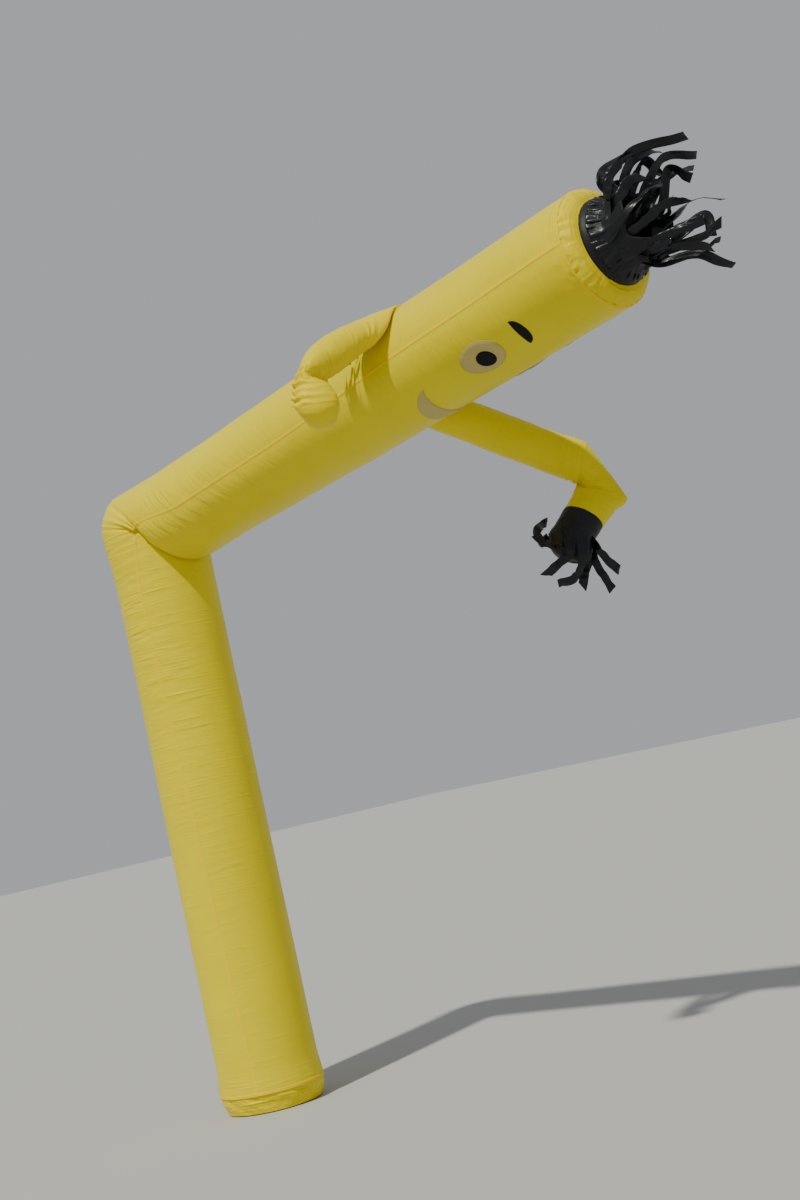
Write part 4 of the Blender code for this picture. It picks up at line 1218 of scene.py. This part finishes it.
def far_fingers(ring):
    ribbons = []
    for number, row in enumerate(FAR_FINGERS):
        twist = 0.3 * TWISTS[(number + 3) % len(TWISTS)]
        path = path_from(ring, SHOULDER, row, 30)
        ribbons.append((path, ring.side(row[0]), FAR_FINGER_WIDTHS, twist, 0.10))
    return add_ribbons("far_finger_ribbons", "far_fingers", ribbons)


def near_fingers(ring):
    ribbons = []
    for angle in NEAR_FINGER_ANGLES:
        root = ring.point(angle)
        way = NEAR_FINGER_WAY + 0.10 * unit(root - ring.centre)
        rise = root + (0.010 + NEAR_FINGER_RISE) * ring.way
        knots = [root - 0.010 * ring.way, root, rise, *(rise + reach * way for reach in NEAR_FINGER_REACH)]
        ribbons.append((smooth_path(knots, 24), ring.side(angle), NEAR_FINGER_WIDTHS, 0.3, 0.08))
    return add_ribbons("near_finger_ribbons", "near_fingers", ribbons)


# Face patches
def add_patch(node, points, flat, sewn, material, closed):
    marks = {"crinkle": 0.5, "sewn": sewn}
    return add_grid(node + "_patch", points, flat, material, closed, node, PATCH_CLOTH, **marks)


def oval_patch(body, node, side, place, lift, material):
    along, aside, half_along, half_around = place
    share = np.linspace(0.02, 1.0, 22)[:, None]
    turn = (np.arange(96) * 2 * math.pi / 96)[None, :]
    edge = smooth_step((share - 0.86) / 0.10)
    pucker = 0.0007 * creases(turn / math.pi * 24, share * 2.0, 91, 48) * smooth_step((share - 0.5) / 0.3)
    height = lift + 0.0018 * (1.0 - edge) + 0.0002 + pucker * (1.0 - 0.6 * edge)
    up = share * half_along * np.cos(turn)
    across = share * half_around * np.sin(turn)
    angle = FACE_CENTRE + side * aside + np.degrees(across / TUBE_RADIUS)
    points = body.skin(along + up, angle, height)
    return add_patch(node, points[:, ::-1], paired(across, up)[:, ::-1], edge, material, True)


def crescent_patch(body, node, side, place, material):
    ends_along, aside, half_angle, inner_bulge, outer_bulge = place
    across = np.sin(np.linspace(-0.5, 0.5, 90) * math.pi)[:, None] * 0.999
    arch = np.sqrt(np.maximum(1.0 - across**2, 0.0))
    share = shares(14)[None, :]
    along = ends_along + blend(inner_bulge, outer_bulge, share) * arch
    turn = across * half_angle
    edge = np.maximum(near(share, 0.08), near(1.0 - share, 0.08)) + 0.0 * across
    height = 0.0012 + 0.0014 * (1.0 - edge) * arch
    points = body.skin(along, FACE_CENTRE + side * aside + turn, height)
    flat = paired(np.radians(turn) * TUBE_RADIUS, along)
    if outer_bulge > inner_bulge:
        points, flat, edge = points[:, ::-1], flat[:, ::-1], edge[:, ::-1]
    return add_patch(node, points, flat, edge, material, False)


def face(body):
    patches = []
    for suffix, side in (("", -1.0), ("_far", 1.0)):
        patches += [
            oval_patch(body, "eye_white" + suffix, side, EYE_WHITE, 0.0007, cream),
            oval_patch(body, "pupil" + suffix, side, PUPIL, 0.0032, patch_black),
            crescent_patch(body, "brow" + suffix, side, BROW, patch_black),
        ]
    return [*patches, crescent_patch(body, "smile", 0.0, SMILE, cream)]


# Stage
def floor():
    mesh = bpy.data.meshes.new("floor")
    signs = ((-1, -1), (1, -1), (1, 1), (-1, 1))
    corners = [(x * FLOOR_REACH, y * FLOOR_REACH, FLOOR_HEIGHT) for x, y in signs]
    mesh.from_pydata(corners, [], [(0, 1, 2, 3)])
    grey = Shader("floor").finish((0.46, 0.46, 0.46, 1.0), 0.9, 0.1)
    add_object("floor", mesh, grey)


def camera():
    data = bpy.data.cameras.new("camera")
    data.lens = LENS
    view = add_object("camera", data)
    axes = Matrix((VIEW_RIGHT, VIEW_UP, -VIEW_AHEAD)).transposed().to_4x4()
    view.matrix_world = Matrix.Translation(VIEW_PLACE) @ axes
    bpy.context.scene.camera = view


def lights():
    world = bpy.data.worlds.new("studio")
    world.use_nodes = True
    background = world.node_tree.nodes["Background"]
    background.inputs["Color"].default_value = (0.94, 0.96, 1.0, 1.0)
    background.inputs["Strength"].default_value = 0.43
    bpy.context.scene.world = world
    data = bpy.data.lights.new("key", "SUN")
    data.energy = 3.4
    data.angle = math.radians(2.0)
    data.color = (1.0, 0.985, 0.86)
    travel = 0.50 * VIEW_RIGHT - 0.80 * VIEW_UP + 0.44 * VIEW_AHEAD
    add_object("key", data).rotation_euler = travel.to_track_quat("-Z", "Y").to_euler()


camera()
lights()
floor()
body = Body()
body_sheet, body_seam = body_cloth(body)
base_cuff()
crown()
collar_sheet = collar()
hair_pieces = hair()
near_wrist = arm(body, "near_arm", NEAR_ROOT, NEAR_ARM, 101, NEAR_ARM_STACKS, 1.0)
far_wrist = arm(body, "far_arm", FAR_ROOT, FAR_ARM, 103, FAR_ARM_STACKS, 0.35)
for node, wrist, rows, palm, seed, fingers in (
    ("near_cuff", near_wrist, NEAR_HAND, (), 111, near_fingers),
    ("far_cuff", far_wrist, FAR_HAND, FAR_PALM, 113, far_fingers),
):
    piece, flat_size, ring = hand(node, wrist, rows, palm, seed)
    fingers(ring)
patches = face(body)
